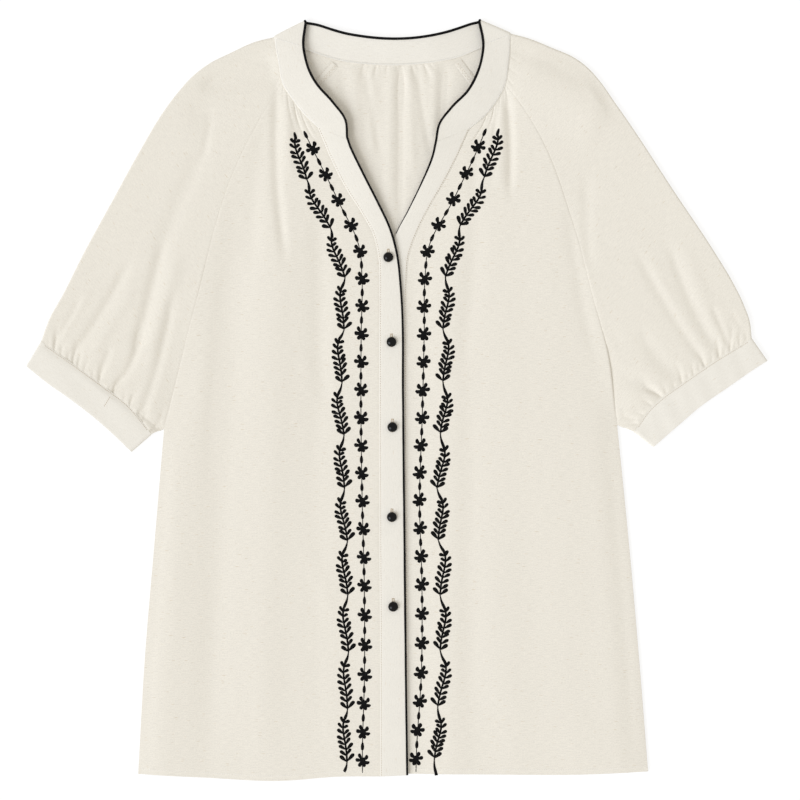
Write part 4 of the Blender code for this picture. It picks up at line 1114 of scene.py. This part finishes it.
def stitches(name, lines, surface, finish, kind):
    """Machine stitches along lines in plan. Each is a short thread that dips into the cloth."""
    pitch, length, radius = kind
    made = Bundle()
    sides = 5
    turn = np.linspace(0, 2 * math.pi, sides, endpoint=False)
    starts, ways = [], []
    for line in lines:
        along = lengths(line)
        at = np.arange(pitch / 2, along[-1] - length, pitch)
        starts.append(at_places(line, along, at))
        ways.append(at_places(line, along, at + length) - starts[-1])
    starts, ways = np.concatenate(starts), np.concatenate(ways)
    stations = np.array([0.0, 0.2, 0.8, 1.0])
    lifts = np.array([-0.00022, 0.00006, 0.00006, -0.00022])
    plan = starts[:, None] + stations[None, :, None] * ways[:, None]
    height = surface.height(plan)
    level = np.median(height, axis=1, keepdims=True)
    height = np.minimum(height, level + 0.0004) + lifts
    around = np.tile(turn * radius, (len(stations), 1))
    places = np.stack([around, (stations * length)[:, None] * np.ones((1, sides))], axis=-1)
    for way, spots, z in zip(ways, plan, height):
        aside = np.append(aside_of(unit(way)), 0.0)
        ring = np.cos(turn)[:, None] * aside + np.sin(turn)[:, None] * [0, 0, 1]
        made.add_grid(np.column_stack([spots, z])[:, None] + radius * ring, places, ring=True)
    return made.build(name, finish)


def offset_line(line, distance):
    """A line in plan, moved sideways. Positive is to the left of the way that it runs."""
    return line + distance * aside_of(unit(np.gradient(line, axis=0)))


def inset(sections, distance):
    """A line in plan beside the seam of a strip, towards its edge."""
    return sections[:, :2] + unit(sections[:, 3:5] - sections[:, :2]) * distance


def button_grid():
    turn = np.linspace(0, 2 * math.pi, 40, endpoint=False)
    circle = np.column_stack([np.cos(turn), np.sin(turn)])
    rings = [
        np.column_stack([circle * radius * BUTTON_RADIUS, np.full(len(turn), BUTTON_HEIGHT * height)])
        for radius, height in BUTTON_PROFILE
    ]
    rings.append([0.0, 0.0, BUTTON_HEIGHT] + rings[-1] * [0.02, 0.02, 0.0])
    return np.array(rings)


def buttons(material):
    """Domed shank buttons. Each stands where its solid does. Gives their places."""
    grid = button_grid()
    places = grid[..., :2].copy()
    made = []
    for number in range(1, BUTTONS + 1):
        low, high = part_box(f"button_{number}")
        centre = np.array([(low.x + high.x) / 2, (low.y + high.y) / 2, low.z])
        shape = Bundle()
        shape.add_grid(grid + centre, places, ring=True)
        button = shape.build(f"domed_button_{number}", material)
        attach(button, "root")
        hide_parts(f"button_{number}")
        made.append(centre)
    return made


def buttonholes(centres, surface, finish):
    """Upright buttonholes: two worked edges and a bar at each end."""
    made = Bundle()
    for centre in centres:
        x, y = centre[0], centre[1] + HOLE_SHIFT
        low, high = y - HOLE_LENGTH / 2, y + HOLE_LENGTH / 2
        for at in (x - HOLE_SIDE, x + HOLE_SIDE):
            pad(made, surface, strip_plan((at, low), (at, high), HOLE_THREAD), 0.00035)
        for at in (low, high):
            pad(made, surface, strip_plan((x - HOLE_BAR, at), (x + HOLE_BAR, at), HOLE_THREAD), 0.00045)
    return made.build("buttonholes", finish)


def strip_plan(start, end, width):
    """A narrow strip in plan, as a grid along it and across it."""
    start, end = np.array(start), np.array(end)
    aside = aside_of(unit(end - start))
    t = np.linspace(0, 1, 14)[:, None, None]
    a = np.linspace(-0.5, 0.5, 7)[None, :, None]
    taper = np.sqrt(np.clip(1 - (2 * t - 1) ** 6, 0.05, 1))
    return start + t * (end - start) + a * width * taper * aside


def pad(made, surface, plan, height=THREAD_RISE):
    """Adds a grid in plan to a bundle, raised to a rounded pad of thread on the cloth."""
    rows, columns = plan.shape[:2]
    across = np.linspace(-1, 1, columns)[None]
    along = np.linspace(-1, 1, rows)[:, None]
    dome = np.sqrt(np.clip(1 - across**2, 0, 1)) * np.clip(1.25 * (1 - along**8), 0, 1) ** 0.5
    points = surface.lay(plan, height * dome - 0.00008)
    middle = plan[:, columns // 2]
    u = np.linalg.norm(plan - middle[:, None], axis=2) * np.sign(across)
    v = lengths(middle)[:, None] * np.ones((1, columns))
    made.add_grid(points, np.stack([u, v], axis=-1))


# Embroidery


def leaf_plan(base, angle, length, width, curve=0.0, blunt=1.6):
    """A leaf or petal in plan: pointed where it starts, round at its end, and slightly curved."""
    t = np.linspace(0, 1, 12)[:, None]
    a = np.linspace(-1, 1, 7)[None]
    half = width / 2 * np.sqrt(np.clip(1 - (2 * t**blunt - 1) ** 2, 0, 1))
    along = t * length * np.ones_like(a)
    aside = a * half + curve * t * (1 - t) * 4
    way = np.array([math.cos(angle), math.sin(angle)])
    return np.asarray(base) + along[..., None] * way + aside[..., None] * aside_of(way)


def ribbon_plan(line, widths):
    """A strip in plan along a line of points, with its width at each of them."""
    square = aside_of(unit(np.gradient(line, axis=0)))
    widths = np.broadcast_to(widths, len(line))
    a = np.linspace(-0.5, 0.5, 5)[None, :, None]
    return line[:, None] + a * widths[:, None, None] * square[:, None]


def flower(made, surface, centre, turn, mirrored, rng):
    for angle, length, width, curl in PETALS:
        angle = math.radians(180 - angle if mirrored else angle) + turn + rng.uniform(-0.07, 0.07)
        length, width = length * rng.uniform(0.95, 1.05), width * rng.uniform(0.94, 1.06)
        plan = leaf_plan(centre, angle, length, width, -curl if mirrored else curl, blunt=1.9)
        pad(made, surface, plan)
    heart = leaf_plan(centre - [HEART_WIDTH / 2, 0], 0.0, HEART_WIDTH, HEART_WIDTH, blunt=1.0)
    pad(made, surface, heart, THREAD_RISE * 1.1)


def flower_chain(made, surface, table, mirrored, seed):
    """Flowers joined by a fine line, with a drop between each two."""
    rng = np.random.default_rng(seed)
    numbers = np.array([row[0] for row in table])
    places = np.array([row[1:] for row in table])

    def at(number):
        where = np.interp(number, numbers, np.arange(len(numbers)))
        return curve_at(places, np.atleast_1d(where))

    for number in range(FLOWERS):
        centre = at(number)[0]
        way = at(number + 0.3)[0] - at(number - 0.3)[0]
        turn = math.atan2(way[0], -way[1])
        flower(made, surface, centre, turn, mirrored, rng)
    for number in np.arange(-0.5, FLOWERS - 0.5 + 0.01, 1.0):
        line = at(np.linspace(max(number - 0.5, numbers[0]), min(number + 0.5, numbers[-1]), 16))
        pad(made, surface, ribbon_plan(line, LINK_WIDTH), LINK_RISE)
        centre = at(min(number + 0.03, numbers[-1]))[0]
        way = unit(at(min(number + 0.2, numbers[-1]))[0] - at(max(number - 0.2, numbers[0]))[0])
        if number > numbers[0] - 0.01 and number < FLOWERS - 1:
            start = centre - way * DROP_LENGTH * 0.55
            plan = leaf_plan(start, math.atan2(way[1], way[0]), DROP_LENGTH, DROP_WIDTH, blunt=1.25)
            pad(made, surface, plan)


def sprig(made, surface, tip, base, bulge, rng):
    """One sprig: a bowed stem with pairs of leaves that grow towards its base."""
    t = np.linspace(0, 1, 24)[:, None]
    way = base - tip
    stem = tip + t * way + unit(aside_of(way)) * bulge * 9.5 * t * (1 - t) ** 3
    knot = np.exp(-((t[:, 0] / 0.07) ** 2))
    pad(made, surface, ribbon_plan(stem, STEM_WIDTH * (0.95 + 0.5 * knot)))
    run = unit(np.gradient(stem, axis=0))
    outside = math.copysign(1.0, bulge)
    for share, *outer_and_inner in LEAVES:
        for side, shape in ((outside, outer_and_inner[:4]), (-outside, outer_and_inner[4:])):
            length, width, angle, curl = shape
            i = min(max(share + rng.uniform(-0.015, 0.015), 0.0), 1.0) * (len(stem) - 1)
            root = at_places(stem, np.arange(len(stem)), i)
            forward = at_places(run, np.arange(len(stem)), i)
            back = math.atan2(-forward[1], -forward[0])
            turn = -side * math.radians(angle + rng.uniform(-4, 4))
            length, width = length * rng.uniform(0.95, 1.05), width * rng.uniform(0.95, 1.05)
            pad(made, surface, leaf_plan(root, back + turn, length, width, side * curl, blunt=1.9))


def vine(made, surface, table, tail, bulge, seed):
    """Sprigs joined by short stems that thicken to a knot at each tip."""
    rng = np.random.default_rng(seed)
    tips, bases = table[:, :2], table[:, 2:]
    for tip, base in zip(tips, bases):
        sprig(made, surface, tip, base, bulge, rng)
    t = np.linspace(-0.12, 1.25, 16)[:, None]
    widths = STEM_WIDTH * (0.62 + 0.85 * np.clip(1.25 - np.abs(t[:, 0] - 1) * 1.5, 0, 1))
    for start, end in zip(bases, [*tips[1:], np.array(tail)]):
        way = end - start
        line = start + t * way + aside_of(way) * 0.05 * np.sin(math.pi * t) * np.sign(-bulge)
        pad(made, surface, ribbon_plan(line, widths), THREAD_RISE * 0.95)
    way = unit(bases[0] - tips[0])
    start, angle = tips[0] + way * 0.003, math.atan2(-way[1], -way[0])
    pad(made, surface, leaf_plan(start, angle, *VINE_TIP, blunt=0.8))


def embroidery(surfaces, finish):
    made = []
    for seed, (side, surface) in enumerate(zip(SIDES, surfaces)):
        flowers, vines = Bundle(), Bundle()
        flower_chain(flowers, surface, side.chain, side.out > 0, 40 + seed)
        vine(vines, surface, side.vine, side.vine_tail, side.out * VINE_BOW, 50 + seed)
        made += [flowers.build(f"flowers_{side.name}", finish), vines.build(f"vine_{side.name}", finish)]
    return made


def seam_allowances(surface, cloth):
    """Inside the neck, the back raglan seams show their overlocked edges: cloth, and stitch lines."""
    made, lines = [], []
    for side in SIDES:
        line = between(side.raglan_back, np.linspace(0.006, 0.34, 70))
        middle = offset_line(line, -side.out * ALLOWANCE / 2)
        plan = ribbon_plan(middle, ALLOWANCE)
        across = np.linspace(-1, 1, plan.shape[1])[None] * np.ones((len(line), 1))
        points = surface.lay(plan, 0.0007 * (1 - across**6) + 0.00012)
        along = lengths(middle)[:, None] * np.ones_like(across)
        shape = Bundle()
        shape.add_grid(points, np.stack([along, across * ALLOWANCE / 2], axis=-1))
        made.append(shape.build(f"seam_allowance_{side.name}", cloth))
        zigzag = 0.0028 * (np.arange(len(line)) % 2)
        for inner in (0.0010, ALLOWANCE - 0.0038, ALLOWANCE - 0.0006 - zigzag[:, None]):
            lines.append(offset_line(line, -side.out * inner))
    return made, lines


# Scene


def floor(finish):
    plan = ((-1, -1), (1, -1), (1, 1), (-1, 1))
    corners = [(x * FLOOR_SIZE, y * FLOOR_SIZE, -FLOOR_DEPTH) for x, y in plan]
    made = add_mesh("floor", corners, [(0, 1, 2, 3)], finish)


def light_and_camera():
    scene = bpy.context.scene
    world = bpy.data.worlds.new("studio")
    world.use_nodes = True
    sky = world.node_tree.nodes["Background"].inputs
    sky["Color"].default_value = (*WORLD_COLOUR, 1.0)
    sky["Strength"].default_value = WORLD_LIGHT
    scene.world = world
    data = bpy.data.lights.new("key", "SUN")
    data.energy = KEY_LIGHT
    data.color = KEY_COLOUR
    data.angle = math.radians(KEY_SPREAD)
    key = bpy.data.objects.new("key", data)
    key.location = KEY_FROM
    key.rotation_mode = "QUATERNION"
    key.rotation_quaternion = (-Vector(KEY_FROM)).to_track_quat("-Z", "Y")
    scene.collection.objects.link(key)
    data = bpy.data.cameras.new("camera")
    data.type = "PERSP"
    data.lens = LENS_MM
    data.sensor_width = SENSOR_MM
    data.clip_start, data.clip_end = 0.1, 50.0
    camera = bpy.data.objects.new("camera", data)
    camera.location = Vector(VIEW_CENTRE) + Vector((0, 0, VIEW_WIDTH * LENS_MM / SENSOR_MM))
    scene.collection.objects.link(camera)
    scene.camera = camera
    scene.view_settings.view_transform = "Standard"
    scene.view_settings.look = "None"
    scene.view_settings.exposure = 0.0


def put(piece, node):
    """Attaches a piece to the root, and hides the node of the frame that it stands for."""
    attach(piece, "root")
    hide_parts(node)


def rest(pieces):
    """Attaches pieces that stand for no node to the root."""
    for piece in pieces:
        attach(piece, "root")


def main():
    cloth = cloth_material("ivory cloth", IVORY, 0.068, IVORY_FLECK)
    faced = cloth_material("ivory facing", FACING, 0.046, FACING_FLECK)
    satin = thread_material("black thread", BLACK_THREAD, 0.45, 0.05, 0.00042, 0.45)
    cord = thread_material("black cord", BLACK_THREAD, 0.50, 0.06, 0.00050, 0.9)
    sewing = thread_material("tan thread", TAN_THREAD, 0.7, 0.2, 0.00030, 0.6)
    # The ivory thread is partly real topstitching and partly a painted highlight along the band's edges
    # and the hem's step
    pale_and_highlight = thread_material("ivory thread", PALE_THREAD_AND_HIGHLIGHT, 0.7, 0.2, 0.00030, 0.6)
    gloss = gloss_material()

    light_and_camera()
    floor(floor_material())

    band = band_sections()
    right, left = (placket_sections(side.placket) for side in SIDES)
    back = back_panel(cloth)
    front_right, front_left = (front_panel(side, cloth) for side in SIDES)
    sleeve_right, sleeve_left = (sleeve(side, cloth) for side in SIDES)
    cuff_right, cuff_left = (cuff(side, faced) for side in SIDES)
    neck_band = strip("band_neck", band, BAND_UNEVEN, faced)
    placket_right = strip("band_placket_right", right, PLACKET_UNEVEN, faced)
    placket_left = strip("band_placket_left", left, PLACKET_UNEVEN, faced)

    # Piece, the node that it stands for, slot, then flat size, area and what it rests on
    sheets = (
        (back, "back", "cloth", (0.56, 0.75), 0.300, "floor"),
        (front_right, "front_right", "cloth", (0.27, 0.72), 0.138, back),
        (front_left, "front_left", "cloth", (0.27, 0.72), 0.137, back),
        (sleeve_right, "sleeve_right", "cloth", (0.34, 0.42), 0.093, back),
        (sleeve_left, "sleeve_left", "cloth", (0.34, 0.42), 0.096, back),
        (cuff_right, "cuff_right", "facing", (0.30, 0.031), 0.0091, "floor"),
        (cuff_left, "cuff_left", "facing", (0.30, 0.031), 0.0092, "floor"),
        (neck_band, "neck_band", "facing", (0.49, 0.029), 0.0138, back),
        (placket_right, "placket_right", "facing", (0.69, 0.027), 0.0165, back),
        (placket_left, "placket_left", "facing", (0.69, 0.027), 0.0165, back),
    )
    for piece, node, slot, *_ in sheets:
        put(piece, node)
    put(piping(band, right, left, cord), "piping")

    on_right, on_left = Surface(front_right), Surface(front_left)
    rest(embroidery((on_right, on_left), satin))
    centres = buttons(gloss)
    rest([buttonholes(centres, Surface(placket_right), sewing)])
    allowances, inside_lines = seam_allowances(Surface(back), cloth)
    rest(allowances)

    strips = Surface(placket_right, placket_left, neck_band)
    fine, fine_cuff = np.linspace(0, 1, 200), np.linspace(0.03, 0.97, 200)
    on_band = [inset(between(table, fine), STITCH_INSET) for table in (RIGHT.band, LEFT.band, BAND_BACK)]
    on_plackets = [inset(right, STITCH_INSET), inset(left, STITCH_INSET)]
    hems = [between(side.hem, np.linspace(0, 1, 240)) + [0, HEM_WIDTH] for side in SIDES]
    cuffs = [
        0.95 * between(side.cuff_seam, fine_cuff) + 0.05 * between(side.cuff_edge, fine_cuff)
        for side in SIDES
    ]
    inside = Surface(back, *allowances)
    # The hem and band stitches are pale: partly real thread, partly a painted highlight along the hem's
    # step and the band's edges
    rest([
        stitches("hem_stitches_right", [hems[0]], on_right, pale_and_highlight, HEM_STITCH),
        stitches("hem_stitches_left", [hems[1]], on_left, pale_and_highlight, HEM_STITCH),
        stitches("placket_stitches", on_plackets, strips, sewing, PLACKET_STITCH),
        stitches("band_stitches", on_band, strips, pale_and_highlight, BAND_STITCH),
        stitches("cuff_stitches_right", [cuffs[0], CUFF_JOIN], Surface(cuff_right), sewing, CUFF_STITCH),
        stitches("cuff_stitches_left", [cuffs[1]], Surface(cuff_left), sewing, CUFF_STITCH),
        stitches("inside_stitches", inside_lines, inside, sewing, HEM_STITCH),
    ])


main()
